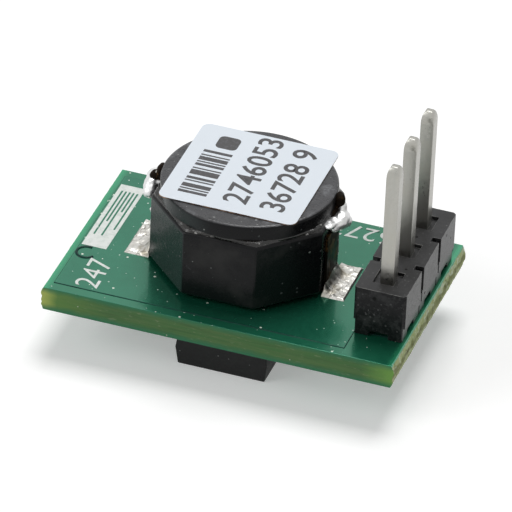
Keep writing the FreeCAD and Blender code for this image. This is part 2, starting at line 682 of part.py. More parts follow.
def diode_lead(label, turn):
    """A diode lead: out at the parting line, up to the board and folded under the package."""
    body = new_body(label, "diode_x", "diode_y", "board_under", turn)
    strip = new_sketch(body, label + "_strip", "XZ_Plane")
    end = "diode_length / 2"
    low = "diode_parting_z - diode_lead_thickness / 2"
    high = "diode_parting_z + diode_lead_thickness / 2"
    outside = f"{end} + diode_lead_reach"
    outline(strip, [
        (f"{end} - lead_anchor", low), (outside, low), (outside, "0"), (f"{end} - diode_lead_foot", "0"),
        (f"{end} - diode_lead_foot", "-diode_lead_thickness"),
        (f"{outside} - diode_lead_thickness", "-diode_lead_thickness"),
        (f"{outside} - diode_lead_thickness", high), (f"{end} - lead_anchor", high),
    ])
    pad(body, strip, "diode_lead_width", symmetric=True)
    reach = value(outside)

    def at_a_bend(edge):
        across = lies_at(edge, "Z", 0) or lies_at(edge, "Z", value(low))
        return across and lies_at(edge, "X", reach)
    dress(body, "Fillet", label + "_bends", at_a_bend, Radius="diode_lead_thickness * 0.8")
    return body


def diode():
    """The rectifier: its package and two leads."""
    leads = [diode_lead("diode_lead_right", 0), diode_lead("diode_lead_left", 180)]
    raw = moulded_package("diode_moulding", "diode_x", "diode_y", "diode_length", "diode_width",
                          "diode_parting_z", "-diode_lead_thickness", "-tall_part_height")
    return [cut_away("diode_body", raw, leads)] + leads


def regulator():
    """The switching regulator: its package and eight gull-wing leads."""
    leads = new_body("regulator_leads", "regulator_x", "regulator_y", "board_under")
    leads.AllowCompound = True
    wing = new_sketch(leads, "gull_wings", "YZ_Plane", lift="-regulator_lead_pitch * (regulator_lead_pairs - 1) / 2")
    thick = "regulator_lead_thickness"
    inner = "(regulator_width / 2 - lead_anchor)"
    knee = "(regulator_span / 2 - regulator_lead_foot)"
    toe = "(regulator_span / 2)"
    for side in ("", "-"):
        outline(wing, [
            (f"{side}{inner}", f"regulator_middle - {thick} / 2"),
            (f"{side}({knee} + {thick} - regulator_lead_slope)", f"regulator_middle - {thick} / 2"),
            (f"{side}({knee} + {thick})", f"-{thick}"), (f"{side}{toe}", f"-{thick}"),
            (f"{side}{toe}", "0"), (f"{side}{knee}", "0"),
            (f"{side}({knee} - regulator_lead_slope)", f"regulator_middle + {thick} / 2"),
            (f"{side}{inner}", f"regulator_middle + {thick} / 2"),
        ])
    pair = pad(leads, wing, "regulator_lead_width", symmetric=True)
    pattern(leads, [pair], "X_Axis", "regulator_lead_pitch * (regulator_lead_pairs - 1)",
            round(value("regulator_lead_pairs")))
    raw = moulded_package("regulator_moulding", "regulator_x", "regulator_y", "regulator_length",
                          "regulator_width", "regulator_middle", "-regulator_standoff",
                          "-(regulator_standoff + regulator_height)")
    return [cut_away("regulator_body", raw, [leads]), leads]


def wedge(start, reach, width, rise, turn, spot):
    """A solder wedge under the board: it starts at an end face and thins out along its reach."""
    corners = [V(start, -width / 2, 0), V(start + reach, -width / 2, 0), V(start, -width / 2, -rise)]
    solid = Part.Face(Part.makePolygon(corners + corners[:1])).extrude(V(0, width, 0))
    solid.rotate(V(0, 0, 0), V(0, 0, 1), turn)
    solid.translate(spot)
    return solid


class Chip:
    """A chip part on the underside: its sizes, its place and the axis that its length lies on."""

    def __init__(self, name, height, size="small", upright=False):
        self.name = name
        self.height = height
        self.length = f"{size}_chip_length"
        self.width = f"{size}_chip_width"
        self.band = f"{size}_chip_band"
        self.turn = 90 if upright else 0

    def block(self, name, start, length, inset):
        """A box of the chip's section, less an inset, along the chip's length."""
        box = primitive("Box", name, Length=length, Width=f"{self.width} - 2 * {inset}",
                        Height=f"{self.height} - 2 * {inset}")
        quarter = self.turn == 90
        along, across = start, f"({self.width} / 2 - {inset})"
        x = f"{self.name}_x + {across}" if quarter else f"{self.name}_x + {along}"
        y = f"{self.name}_y + {along}" if quarter else f"{self.name}_y - {across}"
        place(box, x, y, f"board_under - {self.height} + {inset}", self.turn)
        return box

    def build(self):
        """The ceramic body, and its two metal ends as one node."""
        body_length = f"{self.length} - 2 * end_wall"
        body = self.block(f"{self.name}_body", f"(end_wall - {self.length} / 2)", body_length, "end_wall")
        body.Label = f"{self.name}_body"
        starts = (f"(0 - {self.length} / 2)", f"({self.length} / 2 - {self.band})")
        caps = []
        for index, start in enumerate(starts, 1):
            block = self.block(f"{self.name}_end_{index}_block", start, self.band, "0")
            caps.append(cut_away(f"{self.name}_end_{index}", block, [body]))
        return [body, group(f"{self.name}_ends", caps)]

    def solder(self):
        """The two solder fillets at its ends, as wedges between the board and the ends."""
        spot = V(value(f"{self.name}_x"), value(f"{self.name}_y"), value("board_under"))
        reach, half = value("chip_fillet_reach"), value(self.length) / 2
        rise = value(self.height) * value("chip_fillet_share")
        return [wedge(side * half, side * reach, value(self.width), rise, self.turn, spot)
                for side in (1, -1)]


CHIPS = (
    Chip("input_capacitor", "tall_part_height", "large"),
    Chip("output_capacitor", "tall_part_height", "large", upright=True),
    Chip("bootstrap_capacitor", "small_capacitor_height", upright=True),
    Chip("compensation_capacitor", "small_capacitor_height"),
    Chip("compensation_resistor", "small_resistor_height"),
    Chip("upper_feedback_resistor", "small_resistor_height"),
    Chip("lower_feedback_resistor", "small_resistor_height"),
)


def lead_solder():
    """The solder wedges at the diode's two leads and at the regulator's eight toes."""
    level, reach = value("board_under"), value("lead_fillet_reach")
    solids = []
    diode_end = value("diode_length / 2 + diode_lead_reach")
    for side in (1, -1):
        spot = V(value("diode_x"), value("diode_y"), level)
        solids.append(wedge(side * diode_end, side * reach, value("diode_lead_width"),
                            value("diode_lead_thickness * 2"), 0, spot))
        for lead in range(round(value("regulator_lead_pairs"))):
            shift = value(f"regulator_lead_pitch * ({lead} - (regulator_lead_pairs - 1) / 2)")
            spot = V(value("regulator_x") + shift, value("regulator_y"), level)
            solids.append(wedge(side * value("regulator_span / 2"), side * reach,
                                value("regulator_lead_width"), value("regulator_lead_thickness * 0.8"),
                                90, spot))
    return solids


def component_solder():
    """The solder fillets of every part on the underside, as one node."""
    item = DOC.addObject("Part::Feature", "component_solder")
    item.Label = "component_solder"
    item.Shape = Part.makeCompound([solid for chip in CHIPS for solid in chip.solder()] + lead_solder())
    return item


def build_all():
    """Every piece of the module, in the order of assembly."""
    ring, core, seam = inductor_shield_ring(), inductor_core(), inductor_adhesive()
    nodes = [circuit_board(), header_housing(), ring, core, seam, inductor_winding(), inductor_label()]
    for number, role in enumerate(("input", "ground", "output")):
        nodes.append(square_pin(f"{role}_pin", number))
        nodes.append(pin_solder(f"{role}_pin_solder", number))
    for side, turn in (("left", 180), ("right", 0)):
        terminal = inductor_terminal(f"inductor_terminal_{side}", turn)
        lead = winding_lead(f"winding_lead_{side}", turn)
        bead = clip_solder(f"clip_solder_{side}", turn, [terminal, lead])
        nodes += [terminal, lead, bead, pad_solder(f"pad_solder_{side}", turn)]
    nodes += diode() + regulator()
    for chip in CHIPS:
        nodes += chip.build()
    nodes.append(component_solder())
    return nodes


def check_and_write(nodes):
    """Stops on any failed object or bad shape, then writes one STEP file for each node."""
    DOC.recompute()
    for item in DOC.Objects:
        if "Invalid" in item.State or "Error" in item.State:
            raise RuntimeError(f"{item.Label} failed: {item.State}")
    for node in nodes:
        if node.Shape.isNull() or not node.Shape.isValid() or not node.Shape.Solids:
            raise RuntimeError(f"{node.Label} has a bad shape")
    os.makedirs("parts", exist_ok=True)
    for node in nodes:
        node.Shape.exportStep(f"parts/{node.Label}.step")
        print(f"{node.Label}: {len(node.Shape.Solids)} solid(s), {node.Shape.Volume:.3f} mm3")


check_and_write(build_all())
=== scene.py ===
import math
from collections import namedtuple

import bmesh
import bpy
from bpy.props import FloatProperty, FloatVectorProperty, PointerProperty
from mathutils import Matrix, Vector, noise


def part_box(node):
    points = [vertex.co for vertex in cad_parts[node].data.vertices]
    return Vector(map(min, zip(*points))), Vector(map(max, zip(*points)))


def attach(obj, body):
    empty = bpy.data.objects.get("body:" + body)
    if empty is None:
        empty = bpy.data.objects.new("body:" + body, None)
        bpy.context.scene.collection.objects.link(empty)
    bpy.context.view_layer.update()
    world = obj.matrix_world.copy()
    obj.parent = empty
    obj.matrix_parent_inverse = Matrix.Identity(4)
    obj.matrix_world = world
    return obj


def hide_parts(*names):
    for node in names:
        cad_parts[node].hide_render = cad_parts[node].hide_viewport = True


bl_info = {
    "name": "DC-DC converter module",
    "version": (1, 0, 0),
    "blender": (4, 5, 0),
    "location": "View3D > Sidebar > Converter",
    "description": "Builds the finished pieces of a small step-down converter module round its solids",
    "category": "Object",
}

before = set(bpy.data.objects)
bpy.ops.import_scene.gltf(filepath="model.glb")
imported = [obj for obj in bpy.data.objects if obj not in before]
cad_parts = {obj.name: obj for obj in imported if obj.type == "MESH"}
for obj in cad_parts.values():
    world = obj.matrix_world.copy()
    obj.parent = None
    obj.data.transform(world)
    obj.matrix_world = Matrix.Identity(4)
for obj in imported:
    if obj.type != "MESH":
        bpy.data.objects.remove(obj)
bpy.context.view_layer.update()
MM = 0.001
MERGE = 0.001 * MM


# Places that every piece is built from, read from the solids

BOARD_LOW, BOARD_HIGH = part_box("circuit_board")
HEADER_LOW, HEADER_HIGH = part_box("header_housing")
RING_LOW, RING_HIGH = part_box("inductor_shield_ring")
CORE_LOW, CORE_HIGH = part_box("inductor_core")
SEAM_LOW, SEAM_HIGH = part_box("inductor_adhesive")
LABEL_LOW, LABEL_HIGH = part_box("inductor_label")
AXIS = (RING_LOW + RING_HIGH) / 2
RING_SIDE = (RING_HIGH.x - RING_LOW.x) / 2
RING_FACET = 3.55 * MM
FLANGE_SIDE = (CORE_HIGH.x - CORE_LOW.x) / 2
PIN_ROLES = ("input", "ground", "output")
SIDES = (("left", -1), ("right", 1))
CHIP_NAMES = ("input_capacitor", "output_capacitor", "bootstrap_capacitor", "compensation_capacitor",
              "compensation_resistor", "upper_feedback_resistor", "lower_feedback_resistor")


# Sizes and colours that a user would change

def length(name, description, millimetres):
    """A length property in the module's own units."""
    return FloatProperty(name=name, description=description, default=millimetres * MM,
                         subtype="DISTANCE", unit="LENGTH", precision=5)


def colour(name, description, *default):
    """A colour property."""
    return FloatVectorProperty(name=name, description=description, default=default,
                               subtype="COLOR", min=0.0, max=1.0)


class BoardSettings(bpy.types.PropertyGroup):
    """The laminate, its solder mask and its printed marks."""
    mask_thickness: length("Mask thickness", "Solder mask over bare laminate", 0.03)
    copper_relief: length("Copper relief", "Step where the mask runs over the copper plane", 0.03)
    score_setback: length("Score setback", "Scored face behind the broken web", 0.16)
    score_depth: length("Score depth", "Depth of the V score from each face", 0.4)
    roughness: length("Broken edge", "Roughness of the snapped webs", 0.13)
    ink_thickness: length("Ink", "Thickness of the printed marks", 0.01)
    plane_front: length("Plane inset, front", "Copper plane from the board's front edge", 0.52)
    plane_side: length("Plane inset, left", "Copper plane from the board's left end", 0.46)
    mask: colour("Solder mask", "Mask over the copper plane", 0.012, 0.165, 0.092)
    bare_mask: colour("Mask on laminate", "Mask where no copper lies under it", 0.012, 0.175, 0.092)
    laminate: colour("Laminate", "Cut long edges of the laminate", 0.052, 0.160, 0.042)
    broken: colour("Broken laminate", "Snapped ends of the laminate", 0.40, 0.45, 0.20)
    ink: colour("Board ink", "White ink of the printed marks", 0.80, 0.83, 0.80)


class HeaderSettings(bpy.types.PropertyGroup):
    """The pin header."""
    edge_round: length("Moulding edge", "Rounding of the moulding's edges", 0.03)
    solid_well: length("Well in the solid", "Depth of a well in the CAD node", 0.35)
    well_depth: length("Well", "Depth of a well as it is shown", 0.20)
    corner_share: FloatProperty(name="Corner share", default=0.45, min=0.1, max=1.0,
                                description="Width of a corner bevel against the solid's")
    pin_edge: length("Pin edge", "Rounding of a pin's long edges", 0.03)
    tip_length: length("Pin tip", "Length over which a pin narrows to its end", 0.62)
    plastic: colour("Moulding", "Black header moulding", 0.008, 0.008, 0.009)
    tin: colour("Pin plating", "Matt tin on the pins", 0.385, 0.385, 0.355)


class InductorSettings(bpy.types.PropertyGroup):
    """The shielded inductor and its label."""
    rim_round: length("Rim", "Rounding of the top flange's rim", 0.16)
    ring_round: length("Ring edge", "Rounding of the shield ring's edges", 0.07)
    resin_bulge: length("Resin bulge", "Resin standing out of the seam", 0.12)
    rear_cut: length("Rear cut", "Start of the ring's cut rear corner behind its middle", 0.82)
    strip_thickness: length("Strip", "Thickness of a terminal", 0.11)
    strip_width: length("Strip width", "Width of a terminal", 1.65)
    strip_bow: length("Strip bow", "Bow of a terminal off the ring", 0.03)
    film_thickness: length("Label film", "Thickness of the label with its adhesive", 0.05)
    wave: length("Label wave", "Unevenness of the label", 0.02)
    label_corner: length("Label corner", "Round corner of the label", 0.4)
    ferrite: colour("Ferrite", "Coated ferrite of the ring", 0.005, 0.0052, 0.006)
    ground_ferrite: colour("Ground ferrite", "Top flange of the drum", 0.034, 0.035, 0.039)
    film: colour("Label", "Face of the label", 0.66, 0.71, 0.80)
    print: colour("Label print", "Marks on the label", 0.035, 0.034, 0.036)


class SolderSettings(bpy.types.PropertyGroup):
    """Solder on the pads, at the terminals and under the board."""
    film: length("Solder film", "Solder on a pad", 0.07)
    climb: length("Climb", "Height of the solder up a terminal", 0.62)
    ripple: length("Ripple", "Unevenness of the solder", 0.05)
    grain_size: length("Grain size", "Grid that a lump of solder is shaped on", 0.045)
    metal: colour("Solder", "Bright solder", 0.66, 0.65, 0.62)


class StageSettings(bpy.types.PropertyGroup):
    """Camera, lamps and floor."""
    azimuth: FloatProperty(name="Azimuth", description="Camera's turn about the upright axis",
                           default=math.radians(17.47), subtype="ANGLE", unit="ROTATION")
    elevation: FloatProperty(name="Elevation", description="Camera's height over the floor",
                             default=math.radians(33.72), subtype="ANGLE", unit="ROTATION")
    roll: FloatProperty(name="Roll", description="Camera's turn about its own line of sight",
                        default=math.radians(2.75), subtype="ANGLE", unit="ROTATION")
    distance: length("Distance", "Camera to the middle of the board's face", 358.75)
    aim_right: length("Aim, right", "Middle of the board's face right of the line of sight", -0.07)
    aim_down: length("Aim, down", "Middle of the board's face under the line of sight", 0.44)
    lens: FloatProperty(name="Lens", description="Focal length for a 36 mm sensor", default=541.1)
    key_power: FloatProperty(name="Key lamp", description="Watts of the lamp above and behind", default=1.5)
    fill_power: FloatProperty(name="Fill lamp", default=0.8,
                              description="Watts of the lamp at the front left")
    sky: FloatProperty(name="Sky", description="Even light from all round", default=0.22)
    floor: colour("Floor", "Plain pale floor", 0.86, 0.86, 0.86)


GROUPS = {"board": BoardSettings, "header": HeaderSettings, "inductor": InductorSettings,
          "solder": SolderSettings, "stage": StageSettings}


def settings(name):
    """The scene's settings of one group."""
    return getattr(bpy.context.scene, "converter_" + name)


# Shared surface effects, each a node group that puts out one mask

class Graph:
    """Adds nodes to a tree and links them."""

    def __init__(self, tree):
        self.tree = tree

    def add(self, kind, inputs=(), **values):
        """A node with its own values, then its inputs: each a socket to link or a constant."""
        node = self.tree.nodes.new("ShaderNode" + kind)
        for name, content in values.items():
            setattr(node, name, content)
        for key, content in dict(inputs).items():
            if isinstance(content, bpy.types.NodeSocket):
                self.tree.links.new(content, node.inputs[key])
            else:
                node.inputs[key].default_value = content
        return node

    def math(self, operation, *inputs, clamp=False):
        """The result of a math node."""
        node = self.add("Math", enumerate(inputs), operation=operation, use_clamp=clamp)
        return node.outputs[0]


def effect_group(name, sockets, build):
    """A node group with a Place input, named number or vector inputs and one Mask output."""
    tree = bpy.data.node_groups.new(name, "ShaderNodeTree")
    tree.interface.new_socket("Place", in_out="INPUT", socket_type="NodeSocketVector")
    for socket, default in sockets.items():
        kind = "NodeSocketVector" if isinstance(default, tuple) else "NodeSocketFloat"
        made = tree.interface.new_socket(socket, in_out="INPUT", socket_type=kind)
        made.default_value = default
    tree.interface.new_socket("Mask", in_out="OUTPUT", socket_type="NodeSocketFloat")
    graph = Graph(tree)
    given = tree.nodes.new("NodeGroupInput").outputs
    result = tree.nodes.new("NodeGroupOutput")
    tree.links.new(build(graph, given), result.inputs["Mask"])
    return tree


def patches(graph, given):
    """Soft patches, stretched along an axis where one share of Stretch is small."""
    place = graph.add("VectorMath", ((0, given["Place"]), (1, given["Stretch"])), operation="MULTIPLY")
    cloud = graph.add("TexNoise", {"Vector": place.outputs[0], "Scale": given["Scale"],
                                   "Detail": given["Detail"], "Roughness": 0.6})
    ramp = graph.add("MapRange", {"Value": cloud.outputs[0], "From Min": given["Low"],
                                  "From Max": given["High"]}, interpolation_type="SMOOTHSTEP")
    return ramp.outputs[0]


def specks(graph, given):
    """Small separate grains: only a share of the cells holds one, each of its own size."""
    cells = graph.add("TexVoronoi", {"Vector": given["Place"], "Scale": given["Scale"]})
    pick = graph.add("SeparateColor", {"Color": cells.outputs["Color"]})
    kept = graph.math("LESS_THAN", pick.outputs[0], given["Share"])
    size = graph.math("MULTIPLY", given["Size"], pick.outputs[1])
    inside = graph.math("LESS_THAN", cells.outputs["Distance"], size)
    return graph.math("MULTIPLY", kept, inside)


def hairlines(graph, given):
    """Thin wandering lines, as scratches and creases."""
    place = graph.add("VectorMath", ((0, given["Place"]), (1, given["Stretch"])), operation="MULTIPLY")
    cloud = graph.add("TexNoise", {"Vector": place.outputs[0], "Scale": given["Scale"], "Detail": 2.0})
    middle = graph.math("ABSOLUTE", graph.math("SUBTRACT", cloud.outputs[0], 0.5))
    line = graph.math("SUBTRACT", 1.0, graph.math("DIVIDE", middle, given["Width"]), clamp=True)
    region = graph.add("TexNoise", {"Vector": given["Place"], "Scale": given["Region"]})
    shown = graph.math("GREATER_THAN", region.outputs[0], given["Cover"])
    return graph.math("MULTIPLY", line, shown)


def band(graph, given):
    """A band between two places on an axis, with a soft uneven border."""
    height = graph.add("VectorMath", ((0, given["Place"]), (1, given["Axis"])), operation="DOT_PRODUCT")
    height = height.outputs["Value"]
    cloud = graph.add("TexNoise", {"Vector": given["Place"], "Scale": given["Scale"]})
    shift = graph.math("MULTIPLY", graph.math("SUBTRACT", cloud.outputs[0], 0.5), given["Unevenness"])
    height = graph.math("ADD", height, shift)
    above = graph.math("DIVIDE", graph.math("SUBTRACT", height, given["Low"]), given["Softness"], clamp=True)
    below = graph.math("DIVIDE", graph.math("SUBTRACT", given["High"], height), given["Softness"], clamp=True)
    return graph.math("MULTIPLY", above, below)


def facing(graph, given):
    """How far the surface faces along a direction."""
    normal = graph.add("TexCoord").outputs["Normal"]
    dot = graph.add("VectorMath", ((0, normal), (1, given["Direction"])), operation="DOT_PRODUCT")
    ramp = graph.add("MapRange", {"Value": dot.outputs["Value"], "From Min": given["Low"],
                                  "From Max": given["High"]}, interpolation_type="SMOOTHSTEP")
    return ramp.outputs[0]


# Each effect's function, and its inputs with their usual values
EFFECTS = {
    "patches": (patches, {"Stretch": (1.0, 1.0, 1.0), "Scale": 1000.0, "Detail": 3.0,
                          "Low": 0.4, "High": 0.7}),
    "specks": (specks, {"Scale": 1500.0, "Size": 0.25, "Share": 0.1}),
    "hairlines": (hairlines, {"Stretch": (1.0, 1.0, 1.0), "Scale": 800.0, "Width": 0.01,
                              "Region": 500.0, "Cover": 0.5}),
    "band": (band, {"Axis": (0.0, 0.0, 1.0), "Low": -1.0, "High": 1.0, "Softness": 0.05 * MM,
                    "Scale": 2000.0, "Unevenness": 0.0}),
    "facing": (facing, {"Direction": (0.0, 0.0, 1.0), "Low": 0.2, "High": 0.9}),
}
# One layer of a finish: where its effect shows, it brings its own colour and roughness, unless they
# are None, and lifts the surface
Layer = namedtuple("Layer", "effect values colour roughness lift strength",
                   defaults=(None, None, 0.0, 1.0))


def effect(name):
    """The node group of an effect, built the first time it is asked for."""
    build, sockets = EFFECTS[name]
    return bpy.data.node_groups.get(name) or effect_group(name, sockets, build)


def finish(name, base, roughness, layers=(), metallic=0.0, coat=0.0, specular=0.5):
    """A material: one shader whose colour, roughness and bump are changed by layers in order."""
    material = bpy.data.materials.new(name)
    material.use_nodes = True
    graph = Graph(material.node_tree)
    shader = material.node_tree.nodes["Principled BSDF"]
    constants = {"Metallic": metallic, "Coat Weight": coat, "Coat Roughness": 0.08,
                 "Specular IOR Level": specular, "Roughness": roughness}
    for key, content in constants.items():
        shader.inputs[key].default_value = content
    shader.inputs["Base Color"].default_value = (*base, 1.0)
    place = graph.add("TexCoord").outputs["Object"]
    tint, rough, height = (*base, 1.0), roughness, 0.0
    for layer in layers:
        group = graph.add("Group", node_tree=effect(layer.effect))
        graph.tree.links.new(place, group.inputs["Place"])
        for key, content in layer.values.items():
            group.inputs[key].default_value = content
        mask = graph.math("MULTIPLY", group.outputs[0], layer.strength)
        if layer.colour is not None:
            mixed = graph.add("Mix", ((0, mask), (6, tint), (7, (*layer.colour, 1.0))), data_type="RGBA")
            tint = mixed.outputs[2]
        if layer.roughness is not None:
            rough = graph.add("Mix", ((0, mask), (2, rough), (3, layer.roughness))).outputs[0]
        if layer.lift:
            height = graph.math("MULTIPLY_ADD", mask, layer.lift, height)
    for key, content in (("Base Color", tint), ("Roughness", rough)):
        if isinstance(content, bpy.types.NodeSocket):
            graph.tree.links.new(content, shader.inputs[key])
    if isinstance(height, bpy.types.NodeSocket):
        bump = graph.add("Bump", {"Height": height, "Distance": 1.0, "Strength": 1.0})
        graph.tree.links.new(bump.outputs[0], shader.inputs["Normal"])
    return material


def blend_colour(first, second, share):
    """A colour between two."""
    return tuple(a + (b - a) * share for a, b in zip(first, second))


# Materials, each built once

def mask_finish(name, green, metallic):
    """Glossy solder mask: cloudy green, a faint weave, brighter green painted near the scored ends as a
    highlight, with white dust.
    Light comes back through it from the copper, so part of its gloss is green too."""
    light = blend_colour(green, (0.03, 0.26, 0.16), 0.35)
    # Brighter green near the scored ends: a painted highlight standing in for the lit slopes of the score.
    thin = (0.028, 0.31, 0.15)
    end = BOARD_HIGH.x - settings("board").score_setback
    return finish(name, green, 0.20, (
        Layer("patches", {"Scale": 260.0, "Low": 0.35, "High": 0.75}, light, 0.26, strength=0.5),
        Layer("patches", {"Scale": 2600.0, "Detail": 4.0, "Low": 0.3, "High": 0.8}, None, 0.28,
              0.0012 * MM),
        Layer("patches", {"Stretch": (1.0, 0.15, 1.0), "Scale": 2400.0}, None, None, 0.0010 * MM),
        Layer("patches", {"Stretch": (0.15, 1.0, 1.0), "Scale": 2400.0}, None, None, 0.0010 * MM),
        Layer("band", {"Axis": (1.0, 0.0, 0.0), "Low": end - 0.30 * MM, "Softness": 0.22 * MM,
                       "Unevenness": 0.12 * MM}, thin, 0.3),
        Layer("band", {"Axis": (-1.0, 0.0, 0.0), "Low": end - 0.42 * MM, "Softness": 0.35 * MM,
                       "Unevenness": 0.12 * MM}, thin, 0.3),
        Layer("specks", {"Scale": 1900.0, "Size": 0.125, "Share": 0.75}, (0.60, 0.66, 0.58), 0.7,
              0.01 * MM),
        Layer("specks", {"Scale": 3900.0, "Size": 0.18, "Share": 0.40}, (0.42, 0.52, 0.46), 0.7,
              0.006 * MM),
    ), metallic=metallic, coat=0.35)


def solder_mask():
    """Mask over the copper plane."""
    return mask_finish("solder_mask", settings("board").mask, 0.62)


def bare_solder_mask():
    """Mask over bare laminate, which lets more light through."""
    return mask_finish("bare_solder_mask", settings("board").bare_mask, 0.52)


def mask_step_painted_shade():
    """The mask's slope at the border of the copper plane, painted near-black green as painted shade on the
    step.
    """
    return finish("mask_step_painted_shade", (0.002, 0.030, 0.026), 0.30, (
        Layer("patches", {"Scale": 1800.0}, (0.004, 0.06, 0.040), 0.35, 0.001 * MM),
        Layer("specks", {"Scale": 2500.0, "Size": 0.2, "Share": 0.3}, (0.3, 0.4, 0.35), 0.6, strength=0.7),
    ), specular=0.12)


def cut_laminate():
    """The routed long edges: fine glass layers, green near the faces and yellower at the ends."""
    base = tuple(settings("board").laminate)
    low, high, end = BOARD_LOW.z, BOARD_HIGH.z, BOARD_HIGH.x
    pale = (0.46, 0.52, 0.12)
    return finish("cut_laminate", base, 0.40, (
        Layer("patches", {"Scale": 420.0, "Low": 0.38, "High": 0.72}, (0.060, 0.150, 0.045), strength=0.8),
        Layer("patches", {"Stretch": (0.04, 0.04, 1.0), "Scale": 11000.0, "Low": 0.35, "High": 0.7},
              blend_colour(base, (0.13, 0.18, 0.07), 0.6), 0.5, 0.003 * MM, 0.6),
        Layer("patches", {"Stretch": (0.08, 0.08, 1.0), "Scale": 6500.0, "Low": 0.45, "High": 0.75},
              (0.040, 0.105, 0.028), 0.34, -0.003 * MM, 0.6),
        Layer("patches", {"Stretch": (0.25, 0.25, 1.0), "Scale": 9000.0, "Low": 0.58, "High": 0.74},
              (0.24, 0.30, 0.17), 0.6, strength=0.5),
        Layer("band", {"Axis": (1.0, 0.0, 0.0), "Low": end - 1.6 * MM, "Softness": 1.6 * MM,
                       "Unevenness": 0.5 * MM}, (0.17, 0.36, 0.065), strength=0.9),
        Layer("band", {"Axis": (-1.0, 0.0, 0.0), "Low": end - 3.5 * MM, "Softness": 3.5 * MM,
                       "Unevenness": 0.5 * MM}, (0.12, 0.25, 0.05), strength=0.9),
        Layer("band", {"Axis": (-1.0, 0.0, 0.0), "Low": end - 0.85 * MM, "Softness": 0.6 * MM,
                       "Unevenness": 0.3 * MM}, pale, strength=0.8),
        Layer("band", {"Low": high - 0.34 * MM, "Unevenness": 0.22 * MM, "Softness": 0.26 * MM},
              (0.016, 0.17, 0.075), 0.3, strength=0.85),
        Layer("band", {"Axis": (0.0, 0.0, -1.0), "Low": -low - 0.36 * MM, "Unevenness": 0.22 * MM,
                       "Softness": 0.28 * MM}, (0.014, 0.16, 0.07), 0.3, strength=0.85),
        Layer("specks", {"Scale": 2500.0, "Size": 0.15, "Share": 0.10}, (0.55, 0.58, 0.45), 0.7,
              strength=0.7),
    ), specular=0.25)


def broken_laminate():
    """The snapped ends: whitish torn glass above and below a brown-green web, with a bright green highlight
    painted along the top.
    """
    base = tuple(settings("board").broken)
    middle = (BOARD_LOW.z + BOARD_HIGH.z) / 2
    return finish("broken_laminate", base, 0.60, (
        Layer("patches", {"Stretch": (1.0, 0.3, 1.0), "Scale": 2600.0, "Detail": 5.0, "Low": 0.35,
                          "High": 0.65}, (0.30, 0.37, 0.13), 0.5, 0.012 * MM, 0.8),
        Layer("patches", {"Stretch": (1.0, 0.5, 1.0), "Scale": 5200.0, "Low": 0.48, "High": 0.64},
              (0.56, 0.62, 0.46), 0.8, 0.010 * MM),
        Layer("band", {"Low": middle - 0.22 * MM, "High": middle + 0.26 * MM, "Unevenness": 0.42 * MM,
                       "Scale": 1700.0, "Softness": 0.10 * MM}, (0.165, 0.185, 0.055), 0.7, 0.0, 0.85),
        Layer("patches", {"Scale": 3300.0, "Detail": 4.0, "Low": 0.56, "High": 0.68}, (0.07, 0.075, 0.03),
              0.8, -0.012 * MM, 0.7),
        # Bright green along the top of the snapped ends: a painted highlight of the lit score slope.
        Layer("band", {"Low": BOARD_HIGH.z - 0.14 * MM, "Unevenness": 0.10 * MM}, (0.05, 0.36, 0.20), 0.35),
    ))


def board_ink():
    """White ink, thin enough for the green to show at its pores."""
    base = tuple(settings("board").ink)
    return finish("board_ink", base, 0.55, (
        Layer("patches", {"Scale": 3500.0, "Detail": 4.0}, blend_colour(base, (0.45, 0.55, 0.50), 0.4),
              0.7, 0.003 * MM),
        Layer("specks", {"Scale": 5200.0, "Size": 0.24, "Share": 0.18}, (0.30, 0.42, 0.36), 0.4,
              strength=0.6),
    ))


def header_plastic():
    """Black glass-filled plastic: fine grain, rubbed patches and scratches, grey specks and pores; its top is
    painted lighter as painted light, and its right side as a painted reflection.
    """
    base = tuple(settings("header").plastic)
    return finish("header_plastic", base, 0.22, (
        Layer("patches", {"Scale": 4200.0, "Detail": 4.0, "Low": 0.35, "High": 0.75}, None, 0.34,
              0.0026 * MM),
        # Upward faces painted lighter: painted light on the top.
        Layer("facing", {"Low": 0.7, "High": 0.95}, (0.040, 0.040, 0.041), 0.34),
        Layer("patches", {"Scale": 1500.0, "Detail": 5.0, "Low": 0.46, "High": 0.72},
              (0.050, 0.050, 0.051), 0.42, 0.002 * MM, 0.6),
        # Faces towards +X painted lighter: a painted reflection on the right side.
        Layer("facing", {"Direction": (1.0, 0.0, 0.0), "Low": 0.7, "High": 0.95}, (0.070, 0.070, 0.071),
              0.30, strength=0.6),
        Layer("patches", {"Stretch": (1.0, 0.5, 1.0), "Scale": 6000.0, "Low": 0.52, "High": 0.66},
              (0.060, 0.060, 0.061), 0.42, 0.004 * MM, 0.35),
        Layer("specks", {"Scale": 5200.0, "Size": 0.30, "Share": 0.34}, (0.10, 0.10, 0.10), 0.6,
              strength=0.6),
        Layer("specks", {"Scale": 3600.0, "Size": 0.22, "Share": 0.20}, (0.16, 0.16, 0.16), 0.6,
              strength=0.8),
        Layer("specks", {"Scale": 2600.0, "Size": 0.26, "Share": 0.12}, (0.002, 0.002, 0.002), 0.6,
              -0.01 * MM),
    ), specular=0.14)


def worn_and_highlighted_plastic():
    """The moulding's upper edges: rubbed, and painted lighter as a highlight along them."""
    return finish("worn_and_highlighted_plastic", (0.030, 0.030, 0.031), 0.35, (
        Layer("patches", {"Scale": 1700.0, "Detail": 4.0, "Low": 0.42, "High": 0.62}, (0.22, 0.22, 0.21),
              0.5, 0.003 * MM),
        Layer("specks", {"Scale": 4200.0, "Size": 0.3, "Share": 0.25}, (0.36, 0.36, 0.35), 0.5),
    ), specular=0.4)


